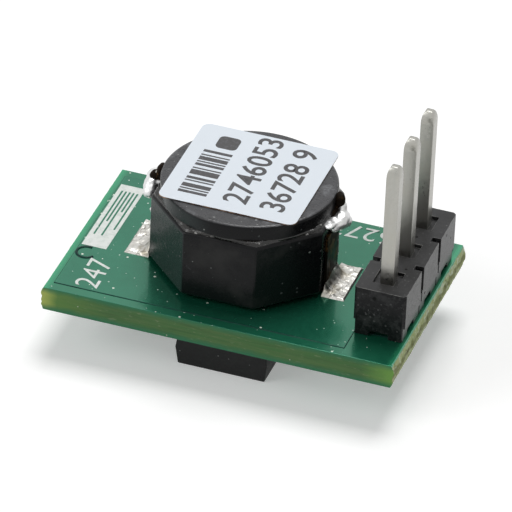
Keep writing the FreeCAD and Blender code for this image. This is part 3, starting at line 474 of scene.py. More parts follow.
def tin_plating():
    """Matt tin on the pins: faint drawn streaks, a fine grain and small dark pits."""
    base = tuple(settings("header").tin)
    return finish("tin_plating", base, 0.27, (
        Layer("patches", {"Stretch": (1.0, 1.0, 0.10), "Scale": 4200.0, "Low": 0.35, "High": 0.65},
              blend_colour(base, (0.44, 0.43, 0.40), 0.6), 0.32, 0.0006 * MM),
        Layer("patches", {"Scale": 12000.0}, blend_colour(base, (0.40, 0.39, 0.36), 0.5), 0.38,
              0.0010 * MM),
        Layer("patches", {"Scale": 900.0, "Low": 0.45, "High": 0.7},
              blend_colour(base, (0.42, 0.40, 0.35), 0.5), 0.34, strength=0.7),
        Layer("specks", {"Scale": 6200.0, "Size": 0.24, "Share": 0.30}, (0.26, 0.25, 0.23), 0.6,
              strength=0.5),
        Layer("specks", {"Scale": 5300.0, "Size": 0.22, "Share": 0.16}, (0.66, 0.66, 0.64), 0.3,
              strength=0.5),
    ), metallic=1.0)


def solder():
    """Bright solder: a frosted skin in places, fine creases, and dark traces of flux."""
    base = tuple(settings("solder").metal)
    return finish("solder", base, 0.22, (
        Layer("patches", {"Scale": 1400.0}, blend_colour(base, (0.40, 0.39, 0.35), 0.8), 0.42, 0.010 * MM),
        Layer("patches", {"Stretch": (1.0, 0.45, 1.0), "Scale": 3400.0, "Detail": 4.0, "Low": 0.35,
                          "High": 0.7}, None, 0.30, 0.016 * MM),
        Layer("patches", {"Scale": 9000.0, "Low": 0.35, "High": 0.7}, None, None, 0.005 * MM),
        Layer("hairlines", {"Stretch": (1.0, 0.6, 1.0), "Scale": 1700.0, "Width": 0.035, "Cover": 0.42,
                            "Region": 900.0}, (0.16, 0.15, 0.12), 0.4, -0.008 * MM, 0.85),
        Layer("patches", {"Scale": 1000.0, "Low": 0.60, "High": 0.72}, (0.26, 0.23, 0.17), 0.35,
              strength=0.6),
        Layer("specks", {"Scale": 3300.0, "Size": 0.28, "Share": 0.10}, (0.10, 0.09, 0.07), 0.5),
    ), metallic=1.0)


def crumpled_solder():
    """The skin on the pads: crumpled bright metal, darkened in patches and hollows as painted shade."""
    base = tuple(settings("solder").metal)
    return finish("crumpled_solder", base, 0.26, (
        # Darker patches here and dark creases below: painted shade on the pads.
        Layer("patches", {"Scale": 1300.0, "Low": 0.48, "High": 0.66},
              blend_colour(base, (0.20, 0.19, 0.15), 0.7), 0.40, 0.010 * MM),
        Layer("patches", {"Stretch": (1.0, 0.4, 1.0), "Scale": 3600.0, "Detail": 4.0, "Low": 0.35,
                          "High": 0.65}, blend_colour(base, (0.36, 0.35, 0.31), 0.5), 0.35, 0.006 * MM),
        Layer("hairlines", {"Stretch": (1.0, 0.6, 1.0), "Scale": 1500.0, "Width": 0.022, "Cover": 0.46,
                            "Region": 900.0}, (0.10, 0.09, 0.07), 0.4, -0.006 * MM, 0.8),
        Layer("patches", {"Scale": 900.0, "Low": 0.55, "High": 0.72}, (0.20, 0.17, 0.11), 0.35,
              strength=0.7),
    ), metallic=1.0)


def stained_tin():
    """The terminals' outer faces: tin under brown-black flux and varnish, bare in spots."""
    return finish("stained_tin", (0.012, 0.008, 0.005), 0.6, (
        Layer("patches", {"Scale": 1100.0}, (0.008, 0.006, 0.004), 0.3, 0.006 * MM),
        Layer("patches", {"Scale": 1500.0, "Detail": 4.0, "Low": 0.56, "High": 0.64}, (0.09, 0.045, 0.015),
              0.4),
        Layer("specks", {"Scale": 3600.0, "Size": 0.3, "Share": 0.25}, (0.50, 0.49, 0.44), 0.4),
    ), specular=0.04)


def terminal_tin():
    """Tinned strip, stained brown by flux near the board and the lead."""
    return finish("terminal_tin", (0.58, 0.57, 0.54), 0.32, (
        Layer("patches", {"Stretch": (1.0, 1.0, 0.2), "Scale": 2600.0}, (0.40, 0.39, 0.36), 0.45,
              0.002 * MM),
        Layer("patches", {"Scale": 900.0, "Low": 0.5, "High": 0.7}, (0.10, 0.055, 0.02), 0.3, strength=0.8),
    ), metallic=1.0)


def coated_ferrite():
    """Black coated ferrite: cloudy smudges, pores, faint scratches and a slight orange peel, with faces
    towards the front left painted lighter as a painted reflection.
    """
    base = tuple(settings("inductor").ferrite)
    return finish("coated_ferrite", base, 0.24, (
        Layer("patches", {"Scale": 330.0, "Detail": 5.0, "Low": 0.50, "High": 0.74},
              (0.026, 0.0255, 0.025), 0.42, 0.002 * MM, 0.9),
        # Faces towards the front left painted blue-green grey: a painted reflection of the board and of the
        # light from the left.
        Layer("facing", {"Direction": (-0.707, -0.707, 0.0), "Low": 0.75, "High": 0.95},
              (0.021, 0.029, 0.029), 0.2, strength=0.9),
        Layer("patches", {"Scale": 3800.0, "Detail": 4.0, "Low": 0.4, "High": 0.75}, None, 0.32,
              0.0025 * MM),
        Layer("specks", {"Scale": 3600.0, "Size": 0.22, "Share": 0.30}, (0.07, 0.075, 0.075), 0.7),
        Layer("specks", {"Scale": 2200.0, "Size": 0.12, "Share": 0.22}, (0.22, 0.23, 0.22), 0.7),
        Layer("hairlines", {"Scale": 900.0, "Width": 0.006, "Cover": 0.6}, (0.05, 0.05, 0.055), 0.5,
              0.002 * MM, 0.6),
    ), specular=0.15)


def ground_ferrite():
    """The ground top of the drum: grey with turning marks, and lighter patches that are partly rubbed ferrite
    and partly painted sheen.
    """
    base = tuple(settings("inductor").ground_ferrite)
    return finish("ground_ferrite", base, 0.25, (
        # Lighter grey patches: rubbed ferrite, and painted sheen of the lit top.
        Layer("patches", {"Scale": 620.0, "Detail": 6.0, "Low": 0.49, "High": 0.60}, (0.14, 0.145, 0.155),
              0.34, 0.0015 * MM, 0.85),
        Layer("patches", {"Stretch": (0.3, 1.0, 1.0), "Scale": 2600.0, "Detail": 4.0, "Low": 0.5,
                          "High": 0.7}, (0.016, 0.016, 0.018), 0.2, 0.003 * MM),
        Layer("patches", {"Scale": 7000.0, "Low": 0.35, "High": 0.7},
              blend_colour(base, (0.02, 0.02, 0.022), 0.5), 0.42, 0.003 * MM),
        Layer("hairlines", {"Stretch": (0.4, 1.0, 1.0), "Scale": 1900.0, "Width": 0.012, "Cover": 0.5},
              (0.20, 0.20, 0.205), 0.4, 0.002 * MM, 0.6),
        Layer("specks", {"Scale": 3900.0, "Size": 0.24, "Share": 0.40}, (0.22, 0.22, 0.22), 0.7),
    ), specular=0.45)


def black_resin():
    """Glossy black resin in the seam, with painted glints."""
    return finish("black_resin", (0.006, 0.006, 0.006), 0.08, (
        Layer("patches", {"Scale": 1900.0, "Detail": 4.0, "Low": 0.35, "High": 0.75},
              (0.012, 0.010, 0.008), 0.14, 0.022 * MM),
        # Light flecks and bright specks: painted glints on the resin.
        Layer("patches", {"Scale": 2600.0, "Detail": 4.0, "Low": 0.62, "High": 0.70}, (0.16, 0.155, 0.15),
              0.4),
        Layer("specks", {"Scale": 3300.0, "Size": 0.26, "Share": 0.34}, (0.42, 0.42, 0.40), 0.4),
    ))


def enamelled_copper():
    """Copper wire under brown enamel."""
    return finish("enamelled_copper", (0.42, 0.20, 0.07), 0.28, (
        Layer("patches", {"Scale": 3000.0}, (0.22, 0.09, 0.03), 0.4, 0.002 * MM),
        Layer("patches", {"Stretch": (0.2, 1.0, 1.0), "Scale": 5000.0}, (0.55, 0.30, 0.10), 0.3),
    ), metallic=1.0, coat=0.4)


def label_film():
    """Matt bluish-white film."""
    base = tuple(settings("inductor").film)
    return finish("label_film", base, 0.42, (
        Layer("patches", {"Scale": 500.0, "Low": 0.35, "High": 0.7},
              blend_colour(base, (0.60, 0.66, 0.77), 0.7), 0.48, strength=0.7),
        Layer("patches", {"Scale": 8000.0, "Low": 0.35, "High": 0.7},
              blend_colour(base, (0.58, 0.63, 0.73), 0.5), 0.5, 0.0015 * MM),
        Layer("specks", {"Scale": 2600.0, "Size": 0.12, "Share": 0.06}, (0.30, 0.30, 0.32), 0.6,
              strength=0.7),
    ))


def label_edge():
    """The label's cut edge, browned by its adhesive."""
    return finish("label_edge", (0.10, 0.055, 0.03), 0.5, (
        Layer("patches", {"Scale": 2500.0, "Low": 0.4, "High": 0.6}, (0.40, 0.24, 0.14), 0.6),
        Layer("patches", {"Scale": 900.0, "Low": 0.45, "High": 0.6}, (0.02, 0.018, 0.016), 0.4),
    ))


def label_print():
    """Grey-black thermal print, a little broken up."""
    base = tuple(settings("inductor").print)
    return finish("label_print", base, 0.5, (
        Layer("patches", {"Scale": 6000.0, "Detail": 4.0, "Low": 0.45, "High": 0.75}, (0.09, 0.09, 0.10),
              0.55),
        Layer("specks", {"Scale": 7000.0, "Size": 0.25, "Share": 0.12}, (0.45, 0.48, 0.54), 0.5,
              strength=0.5),
    ))


def moulded_black():
    """Epoxy packages under the board."""
    return finish("moulded_black", (0.009, 0.0095, 0.0095), 0.5, (
        Layer("patches", {"Scale": 6500.0, "Detail": 4.0, "Low": 0.35, "High": 0.75},
              (0.015, 0.0155, 0.0155), 0.62, 0.006 * MM),
        Layer("patches", {"Scale": 600.0, "Low": 0.45, "High": 0.7}, (0.016, 0.0165, 0.0165), 0.44,
              strength=0.6),
        Layer("specks", {"Scale": 3800.0, "Size": 0.18, "Share": 0.25}, (0.12, 0.12, 0.12), 0.7),
    ), specular=0.25)


def capacitor_ceramic():
    """Tan ceramic."""
    return finish("capacitor_ceramic", (0.30, 0.18, 0.095), 0.42, (
        Layer("patches", {"Scale": 900.0}, (0.36, 0.23, 0.13), 0.5, 0.002 * MM),
        Layer("patches", {"Scale": 7000.0}, (0.24, 0.14, 0.07), 0.55, 0.002 * MM),
    ))


def resistor_ceramic():
    """White alumina whose outer face carries black glass."""
    return finish("resistor_ceramic", (0.68, 0.68, 0.65), 0.5, (
        Layer("patches", {"Scale": 5000.0}, (0.55, 0.55, 0.52), 0.6, 0.002 * MM),
        Layer("facing", {"Direction": (0.0, 0.0, -1.0), "Low": 0.5, "High": 0.8}, (0.012, 0.012, 0.014),
              0.2),
    ))


def material(build):
    """The material that a function makes, made once."""
    return bpy.data.materials.get(build.__name__) or build()


# Mesh tools

def add_block(bm, low, high):
    """Adds a box between two corners and gives its vertices."""
    low, high = Vector(low), Vector(high)
    spot = Matrix.Translation((low + high) / 2) @ Matrix.Diagonal((*(high - low), 1.0))
    return bmesh.ops.create_cube(bm, size=1.0, matrix=spot)["verts"]


def round_edges(bm, width, segments=2, edges=None):
    """Rounds the given edges, or every edge that turns by more than 30 degrees."""
    if edges is None:
        limit = math.radians(30.0)
        edges = [edge for edge in bm.edges if len(edge.link_faces) == 2 and edge.calc_face_angle() > limit]
    return bmesh.ops.bevel(bm, geom=edges, offset=width, offset_type="OFFSET", affect="EDGES",
                           segments=segments, profile=0.5, material=-1, clamp_overlap=True)


def edges_of(verts):
    """The edges whose two ends are both among some vertices."""
    chosen = set(verts)
    found = {edge for vert in chosen for edge in vert.link_edges}
    return [edge for edge in found if edge.verts[0] in chosen and edge.verts[1] in chosen]


def span(edge):
    """The way from one end of an edge to the other."""
    return edge.verts[0].co - edge.verts[1].co


def upright_edges(verts):
    """The edges along Z among some vertices."""
    return [edge for edge in edges_of(verts) if span(edge).to_2d().length < MERGE]


def extruded(bm, faces, shift=(0, 0, 0)):
    """Extrudes faces by a shift and gives the vertices at its far end."""
    made = bmesh.ops.extrude_face_region(bm, geom=faces)["geom"]
    moved = [item for item in made if isinstance(item, bmesh.types.BMVert)]
    bmesh.ops.translate(bm, verts=moved, vec=shift)
    return moved


def copied(node):
    """A copy of a CAD node's mesh with its flat faces made whole."""
    bm = bmesh.new()
    bm.from_mesh(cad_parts[node].data)
    bmesh.ops.remove_doubles(bm, verts=bm.verts, dist=MERGE)
    bmesh.ops.dissolve_limit(bm, angle_limit=math.radians(1.0), verts=bm.verts, edges=bm.edges)
    return bm


def spun(bm, outline, centre, steps=96, angle=math.tau):
    """Turns an outline of (radius, height) points about an upright axis, fully unless an angle is given."""
    verts = [bm.verts.new(centre + Vector((radius, 0.0, height))) for radius, height in outline]
    edges = [bm.edges.new(pair) for pair in zip(verts, verts[1:])]
    bmesh.ops.spin(bm, geom=verts + edges, cent=centre, axis=(0, 0, 1), angle=angle, steps=steps,
                   use_merge=angle == math.tau)
    bmesh.ops.remove_doubles(bm, verts=bm.verts, dist=MERGE)


def arc(centre_radius, centre_height, radius, start, stop, count):
    """Points of (radius, height) on an arc between two angles in degrees."""
    angles = (math.radians(start + (stop - start) * step / count) for step in range(count + 1))
    return [(centre_radius + radius * math.cos(a), centre_height + radius * math.sin(a)) for a in angles]


def shaped_mesh(data, arrange=None):
    """The mesh that a curve, a text or a mesh with its modifiers comes to."""
    helper = bpy.data.objects.new("helper", data)
    bpy.context.scene.collection.objects.link(helper)
    if arrange:
        arrange(helper)
    result = bpy.data.meshes.new_from_object(helper.evaluated_get(bpy.context.evaluated_depsgraph_get()))
    bpy.data.objects.remove(helper)
    bm = bmesh.new()
    bm.from_mesh(result)
    bmesh.ops.remove_doubles(bm, verts=bm.verts, dist=MERGE / 10)
    return bm


def numerals(figures, height, thickness, place, along, upright, bolder=0.012):
    """Flat numerals that start at a place and run along one direction, their tops toward another."""
    text = bpy.data.curves.new("numerals", "FONT")
    text.body, text.resolution_u = figures, 4
    size = height / 0.70
    text.extrude, text.offset = thickness / 2 / size, bolder
    bm = shaped_mesh(text)
    along, upright = Vector(along), Vector(upright)
    turn = Matrix((along, upright, along.cross(upright))).transposed().to_4x4()
    bmesh.ops.transform(bm, matrix=Matrix.Translation(place) @ turn @ Matrix.Scale(size, 4), verts=bm.verts)
    return bm


def join_meshes(parts):
    """One mesh of several."""
    whole = bmesh.new()
    for part in parts:
        step = bpy.data.meshes.new("part")
        part.to_mesh(step)
        part.free()
        whole.from_mesh(step)
    return whole


def uneven(place, scale, seed=0.0):
    """A smooth random value from -1 to 1 at a place, the same on every run."""
    return noise.noise(Vector(place) * scale + Vector((seed, seed * 1.7, seed * 0.6)))


def roughen(verts, amount, scale, seed=0.0):
    """Moves vertices along their normals by a smooth random amount."""
    shifts = [(vert, vert.normal * uneven(vert.co, scale, seed) * amount) for vert in verts]
    for vert, shift in shifts:
        vert.co += shift


def keep_piece(name, bm, finishes, replaced=(), angle=40.0, pick=None, flat=False):
    """Makes the mesh a piece of the module: shaded, finished and on its body.
    Flat keeps the gloss of wide faces from bending towards the rounded edges beside them."""
    bmesh.ops.recalc_face_normals(bm, faces=bm.faces)
    if pick:
        bm.normal_update()
        for face in bm.faces:
            face.material_index = pick(face)
    mesh = bpy.data.meshes.new(name)
    bm.to_mesh(mesh)
    bm.free()
    for build in finishes:
        mesh.materials.append(material(build))
    mesh.shade_smooth()
    mesh.set_sharp_from_angle(angle=math.radians(angle))
    piece = bpy.data.objects.new(name, mesh)
    bpy.context.scene.collection.objects.link(piece)
    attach(piece, "root")
    if replaced:
        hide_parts(*replaced)
    if flat:
        piece.modifiers.new("flat faces", "WEIGHTED_NORMAL").keep_sharp = True


# The board

def laminate_profile():
    """Half of the board's section: corners of its scored and snapped end as (x, z)."""
    board = settings("board")
    web, face = BOARD_HIGH.x, BOARD_HIGH.x - board.score_setback
    low = BOARD_LOW.z + board.mask_thickness / 2
    high = BOARD_HIGH.z - board.copper_relief - board.mask_thickness / 2
    return [(face, low), (web, BOARD_LOW.z + board.score_depth), (web, BOARD_HIGH.z - board.score_depth),
            (face, high)]


def build_laminate():
    """The laminate: a scored profile along Y, its webs torn into rough ridges."""
    board = settings("board")
    right = laminate_profile()
    left = [(-x, z) for x, z in reversed(right)]
    bm = bmesh.new()
    face = bm.faces.new([bm.verts.new((x, BOARD_LOW.y, z)) for x, z in right + left])
    extruded(bm, [face], (0, BOARD_HIGH.y - BOARD_LOW.y, 0))
    long_edges = [edge for edge in bm.edges if abs(span(edge).y) > MM]
    bmesh.ops.subdivide_edges(bm, edges=long_edges, cuts=150, use_grid_fill=True)
    side = BOARD_HIGH.x - board.score_setback
    middle, half = (right[0][1] + right[-1][1]) / 2, (right[-1][1] - right[0][1]) / 2
    ends = [edge for edge in bm.edges if abs(span(edge).z) > MERGE
            and all(abs(vert.co.x) > side - MERGE for vert in edge.verts)]
    bmesh.ops.subdivide_edges(bm, edges=ends, cuts=6, use_grid_fill=True)
    for vert in bm.verts:
        reach = abs(vert.co.x) - side
        if reach > 0.01 * MM:
            share = 1.0 - (abs(vert.co.z - middle) / half) ** 2.5
            torn = 0.6 * uneven(vert.co, 2100.0, 3.0) + 0.5 * uneven(vert.co, 5600.0, 9.0)
            web = side + share * (board.score_setback - max(0.0, 0.3 + torn) * board.roughness)
            vert.co.x = math.copysign(web, vert.co.x)
            vert.co.z += 0.5 * share * board.roughness * uneven(vert.co, 2600.0, 5.0)
            vert.co.y += 0.2 * share * board.roughness * uneven(vert.co, 3000.0, 7.0) * edge_guard(vert.co.y)
    keep_piece("board_laminate", bm, (cut_laminate, broken_laminate), ("circuit_board",),
               pick=lambda face: 1 if abs(face.normal.x) > 0.3 else 0)


def edge_guard(y):
    """Zero at the board's long edges, where a shift along Y would leave the board."""
    return 1.0 if BOARD_LOW.y + 0.1 * MM < y < BOARD_HIGH.y - 0.1 * MM else 0.0


def mask_sheet(name, low, high):
    """A sheet of mask over a whole face of the board, with slightly rounded long edges."""
    side = BOARD_HIGH.x - settings("board").score_setback
    bm = bmesh.new()
    add_block(bm, (-side, BOARD_LOW.y, low), (side, BOARD_HIGH.y, high))
    round_edges(bm, (high - low) * 0.45, 2)
    keep_piece(name, bm, (bare_solder_mask,), flat=True)


def plate(bm, corners, low, high, rounding=0.0, bevel=0.0):
    """A flat plate with a polygon's outline, its corners rounded and its top edge bevelled."""
    verts = [bm.verts.new((x, y, low)) for x, y in corners]
    face = bm.faces.new(verts)
    if rounding:
        bmesh.ops.bevel(bm, geom=verts, offset=rounding, affect="VERTICES", segments=4, profile=0.5,
                        material=-1)
        face = next(item for item in bm.faces if len(item.verts) > len(corners))
    top = extruded(bm, [face], (0, 0, high - low))
    if bevel:
        rim = [edge for edge in edges_of(top) if len(edge.link_faces) == 2 and edge.calc_face_angle() > 0.5]
        round_edges(bm, bevel, 3, edges=rim)


def rectangle(x_low, x_high, y_low, y_high):
    """Corners of a rectangle, in order."""
    return [(x_low, y_low), (x_high, y_low), (x_high, y_high), (x_low, y_high)]


def build_copper_plane():
    """The mask where it runs over the copper plane: a low step with a rounded border."""
    board = settings("board")
    base = BOARD_HIGH.z - board.copper_relief
    left, front = BOARD_LOW.x + board.plane_side, BOARD_LOW.y + board.plane_front
    back = BOARD_HIGH.y - board.plane_front
    right = BOARD_HIGH.x - board.plane_side
    notch_x, notch_y = HEADER_LOW.x + 0.1 * MM, HEADER_LOW.y + 0.2 * MM
    bm = bmesh.new()
    plate(bm, [(left, front), (notch_x, front), (notch_x, notch_y), (right, notch_y), (right, back),
               (left, back)], base - 0.01 * MM, BOARD_HIGH.z, bevel=board.copper_relief * 1.6)
    # The slopes at the plane's border take the near-black green of the step: painted shade.
    keep_piece("copper_plane_mask", bm, (solder_mask, mask_step_painted_shade),
               pick=lambda face: 0 if face.normal.z > 0.97 else 1, flat=True)


class CONVERTER_OT_board(bpy.types.Operator):
    """Build the laminate with its snapped ends, the mask on both faces and the copper plane's relief"""
    bl_idname = "converter.board"
    bl_label = "Board"

    def execute(self, context):
        board = settings("board")
        build_laminate()
        top = BOARD_HIGH.z - board.copper_relief
        mask_sheet("mask_top", top - board.mask_thickness, top)
        mask_sheet("mask_under", BOARD_LOW.z, BOARD_LOW.z + board.mask_thickness)
        build_copper_plane()
        return {"FINISHED"}


# Printed marks on the board, with places in millimetres from its middle

PANEL_LEFT, PANEL_FRONT, PANEL_WIDTH, PANEL_DEPTH = -8.08, -1.38, 1.22, 5.5
BAR_LEFT, BAR_BACK, BAR_WIDTH, BAR_PITCH, BAR_LENGTH = -7.88, 3.6, 0.09, 0.19, 4.4
BAR_SHARES = (0.9, 0.62, 0.9, 0.4, 0.75)
RING_MARK_X, RING_MARK_Y, RING_MARK_RADIUS, RING_MARK_LINE = -7.64, -1.95, 0.46, 0.075
# Figures, height, place, the way they run, the way their tops point and how bold they are
NUMERALS = (("247", 1.15, (-6.15, -4.72), (0, 1, 0), (-1, 0, 0), -0.004),
            ("6273", 1.08, (5.35, 5.02), (-1, 0, 0), (0, -1, 0), -0.002))


def build_ink_marks(ink):
    """The white write-on panel and the numerals."""
    panel = bmesh.new()
    left, front = PANEL_LEFT * MM, PANEL_FRONT * MM
    plate(panel, rectangle(left, left + PANEL_WIDTH * MM, front, front + PANEL_DEPTH * MM),
          BOARD_HIGH.z - 0.004 * MM, BOARD_HIGH.z + ink)
    shapes = [panel]
    for figures, height, (x, y), along, upright, bolder in NUMERALS:
        place = Vector((x * MM, y * MM, BOARD_HIGH.z + ink / 2 - 0.002 * MM))
        shapes.append(numerals(figures, height * MM, ink, place, along, upright, bolder))
    keep_piece("board_ink_marks", join_meshes(shapes), (board_ink,))


def build_panel_bars(ink):
    """Bars left free of ink in the panel, so the mask's green shows there."""
    bars = bmesh.new()
    top = BOARD_HIGH.z + ink
    for row, share in enumerate(BAR_SHARES):
        start = (BAR_LEFT + BAR_PITCH * row) * MM
        plate(bars, rectangle(start, start + BAR_WIDTH * MM, BAR_BACK * MM - BAR_LENGTH * share * MM,
                              BAR_BACK * MM), top - 0.003 * MM, top + 0.001 * MM)
    keep_piece("panel_bars", bars, (solder_mask,))


def build_ring_mark():
    """An open ring at the panel's corner, where the mask runs over a track."""
    ring = bmesh.new()
    centre = Vector((RING_MARK_X * MM, RING_MARK_Y * MM, BOARD_HIGH.z))
    section = arc(RING_MARK_RADIUS * MM, -0.02 * MM, RING_MARK_LINE * MM, 0.0, 180.0, 6)
    spun(ring, section, centre, 48, math.radians(255))
    turn = Matrix.Rotation(math.radians(75), 3, "Z")
    bmesh.ops.rotate(ring, cent=centre, matrix=turn, verts=ring.verts)
    bmesh.ops.holes_fill(ring, edges=ring.edges)
    # The ring mark takes the step's near-black green: painted shade on its relief.
    keep_piece("board_ring_mark", ring, (mask_step_painted_shade,))


class CONVERTER_OT_board_marks(bpy.types.Operator):
    """Print the plain write-on panel, its bars, the plain numerals and the ring mark on the board"""
    bl_idname = "converter.board_marks"
    bl_label = "Board marks"

    def execute(self, context):
        ink = settings("board").ink_thickness
        build_ink_marks(ink)
        build_panel_bars(ink)
        build_ring_mark()
        return {"FINISHED"}


# The header

def shape_header(bm):
    """Narrows the moulding's upright corner bevels and makes its wells shallower."""
    header = settings("header")
    middle, half = (HEADER_LOW + HEADER_HIGH) / 2, (HEADER_HIGH - HEADER_LOW) / 2
    well_floor = HEADER_HIGH.z - header.solid_well
    for vert in bm.verts:
        off = vert.co - middle
        beside, behind = half.x - abs(off.x), half.y - abs(off.y)
        if beside < 0.1 * MM and 0.15 * MM < behind < 0.45 * MM:
            vert.co.y = middle.y + math.copysign(half.y - behind * header.corner_share, off.y)
        elif behind < 0.1 * MM and 0.15 * MM < beside < 0.45 * MM:
            vert.co.x = middle.x + math.copysign(half.x - beside * header.corner_share, off.x)
        if abs(vert.co.z - well_floor) < 0.01 * MM:
            vert.co.z = HEADER_HIGH.z - header.well_depth


class CONVERTER_OT_header(bpy.types.Operator):
    """Shape the header's moulding: narrow corner bevels, shallow wells and rounded edges, worn and with a
    painted highlight
    """
    bl_idname = "converter.header"
    bl_label = "Header moulding"

    def execute(self, context):
        bm = copied("header_housing")
        shape_header(bm)
        round_edges(bm, settings("header").edge_round, 2)
        # Upward-tilted bevels take the worn plastic with its painted highlight.
        keep_piece("header_moulding", bm, (header_plastic, worn_and_highlighted_plastic),
                   ("header_housing",), pick=lambda face: 1 if 0.25 < face.normal.z < 0.96 else 0, flat=True)
        return {"FINISHED"}


# Share of the tip's length, and the pin's width there as a share of its full width
PIN_TIP = ((0.0, 1.0), (0.25, 0.98), (0.45, 0.93), (0.65, 0.84), (0.82, 0.70), (0.94, 0.54), (1.0, 0.40))


def extrude_tip(bm, face, direction, centre, tip_length):
    """Draws a pin's end out in short steps that narrow it along a curve."""
    there, back = Matrix.Translation(-centre), Matrix.Translation(centre)
    for (start, wide), (stop, narrow) in zip(PIN_TIP, PIN_TIP[1:]):
        made = bmesh.ops.extrude_discrete_faces(bm, faces=[face])
        face = made["faces"][0]
        bmesh.ops.translate(bm, verts=face.verts, vec=(0, 0, direction * (stop - start) * tip_length))
        share = narrow / wide
        narrowing = back @ Matrix.Diagonal((share, share, 1.0, 1.0)) @ there
        bmesh.ops.transform(bm, matrix=narrowing, verts=face.verts)


def build_pin(role):
    """A square pin with rounded long edges and drawn ends."""
    header = settings("header")
    low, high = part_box(f"{role}_pin")
    tip = header.tip_length
    bm = bmesh.new()
    verts = add_block(bm, (low.x, low.y, low.z + tip), (high.x, high.y, high.z - tip))
    round_edges(bm, header.pin_edge, 2, edges=upright_edges(verts))
    centre = (low + high) / 2
    for direction in (1, -1):
        face = max(bm.faces, key=lambda item: item.calc_center_median().z * direction)
        extrude_tip(bm, face, direction, Vector((centre.x, centre.y, 0.0)), tip)
    keep_piece(f"{role}_pin_finished", bm, (tin_plating,), (f"{role}_pin",), flat=True)


def build_pin_joint(role):
    """The solder that fills a pin's hole and climbs its tail in a hollow cone."""
    film = settings("solder").film
    low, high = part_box(f"{role}_pin_solder")
    centre = Vector(((low.x + high.x) / 2, (low.y + high.y) / 2, BOARD_LOW.z))
    outer, neck = (high.x - low.x) / 2, 0.46 * MM
    depth = BOARD_LOW.z - low.z
    outline = [(0.0, 0.0), (outer, 0.0)]
    for step in range(9):
        share = step / 8
        radius = neck + (outer - neck) * (1 - share) ** 2.2
        outline.append((radius, -film - (depth - film) * share))
    outline.append((0.0, -depth))
    bm = bmesh.new()
    spun(bm, outline, centre, steps=48)
    bm.normal_update()
    cone = [vert for vert in bm.verts if vert.co.z < BOARD_LOW.z - 0.03 * MM]
    roughen(cone, 0.02 * MM, 1500.0, low.y * 900)
    keep_piece(f"{role}_joint", bm, (solder,), (f"{role}_pin_solder",), angle=60.0)


class CONVERTER_OT_pins(bpy.types.Operator):
    """Build the three pins and their solder joints under the board"""
    bl_idname = "converter.pins"
    bl_label = "Pins"

    def execute(self, context):
        for role in PIN_ROLES:
            build_pin(role)
            build_pin_joint(role)
        return {"FINISHED"}


# Lumps at the inductor's terminals: the solder over each strip, and the coated ends of the wire

# Lobes of each lump in millimetres: their middle, outward of the ring, along Y and from the flange's top,
# and their half sizes
SOLDER_LOBES = {
    "left": ((0.42, 0.05, -1.20, 0.40, 0.72, 0.46), (0.36, -0.42, -1.32, 0.32, 0.42, 0.36),
             (0.48, 0.50, -1.12, 0.38, 0.48, 0.36), (0.05, 0.10, -0.98, 0.28, 0.38, 0.20),
             (0.12, -0.84, -2.5, 0.07, 0.07, 1.1), (0.16, -0.78, -2.12, 0.11, 0.12, 0.14)),
    "right": ((0.30, 0.40, -1.18, 0.38, 0.74, 0.44), (0.26, 0.78, -0.80, 0.22, 0.34, 0.44),
              (0.42, 0.70, -1.42, 0.34, 0.46, 0.28), (0.00, -0.30, -0.98, 0.36, 0.58, 0.14),
              (0.20, 0.00, -1.24, 0.30, 0.60, 0.28), (0.10, 0.78, -2.6, 0.07, 0.08, 1.3)),
}
COATED_LOBES = {
    "left": ((0.02, 0.16, -0.52, 0.22, 0.42, 0.40), (0.28, 0.06, -0.80, 0.26, 0.32, 0.32),
             (-0.10, 0.30, -0.85, 0.30, 0.50, 0.22), (-0.02, 0.06, -0.26, 0.10, 0.24, 0.18),
             (0.10, -0.58, -2.90, 0.12, 0.28, 0.52)),
    "right": ((0.02, 0.80, -0.42, 0.22, 0.30, 0.36), (0.20, 0.72, -0.40, 0.18, 0.22, 0.42),
              (-0.20, 0.55, -0.84, 0.36, 0.62, 0.18), (0.05, 0.85, -0.12, 0.16, 0.20, 0.16)),
}


def lobe_places(table, side):
    """The lobes of one lump in the frame's own places."""
    wall = AXIS.x + side * RING_SIDE
    return [(Vector((wall + side * out * MM, y * MM, CORE_HIGH.z + z * MM)), Vector((a, b, c)) * MM)
            for out, y, z, a, b, c in table]


def lump_mesh(lobes, seed):
    """A lump: rounded lobes drawn together on a fine grid, then made uneven."""
    solder_settings = settings("solder")
    bm = bmesh.new()
    for centre, radii in lobes:
        spot = Matrix.Translation(centre) @ Matrix.Diagonal((*radii, 1.0))
        bmesh.ops.create_icosphere(bm, subdivisions=4, radius=1.0, matrix=spot)
    rough = bpy.data.meshes.new("rough_lump")
    bm.to_mesh(rough)
    bm.free()

    def one_skin(helper):
        remesh = helper.modifiers.new("one skin", "REMESH")
        remesh.mode, remesh.voxel_size = "VOXEL", solder_settings.grain_size

    bm = shaped_mesh(rough, one_skin)
    for _ in range(5):
        bmesh.ops.smooth_vert(bm, verts=bm.verts, factor=0.5, use_axis_x=True, use_axis_y=True,
                              use_axis_z=True)
    bm.normal_update()
    roughen(bm.verts, solder_settings.ripple * 1.2, 1500.0, seed)
    bm.normal_update()
    roughen(bm.verts, solder_settings.ripple * 0.6, 5000.0, seed + 3)
    return bm


# The inductor

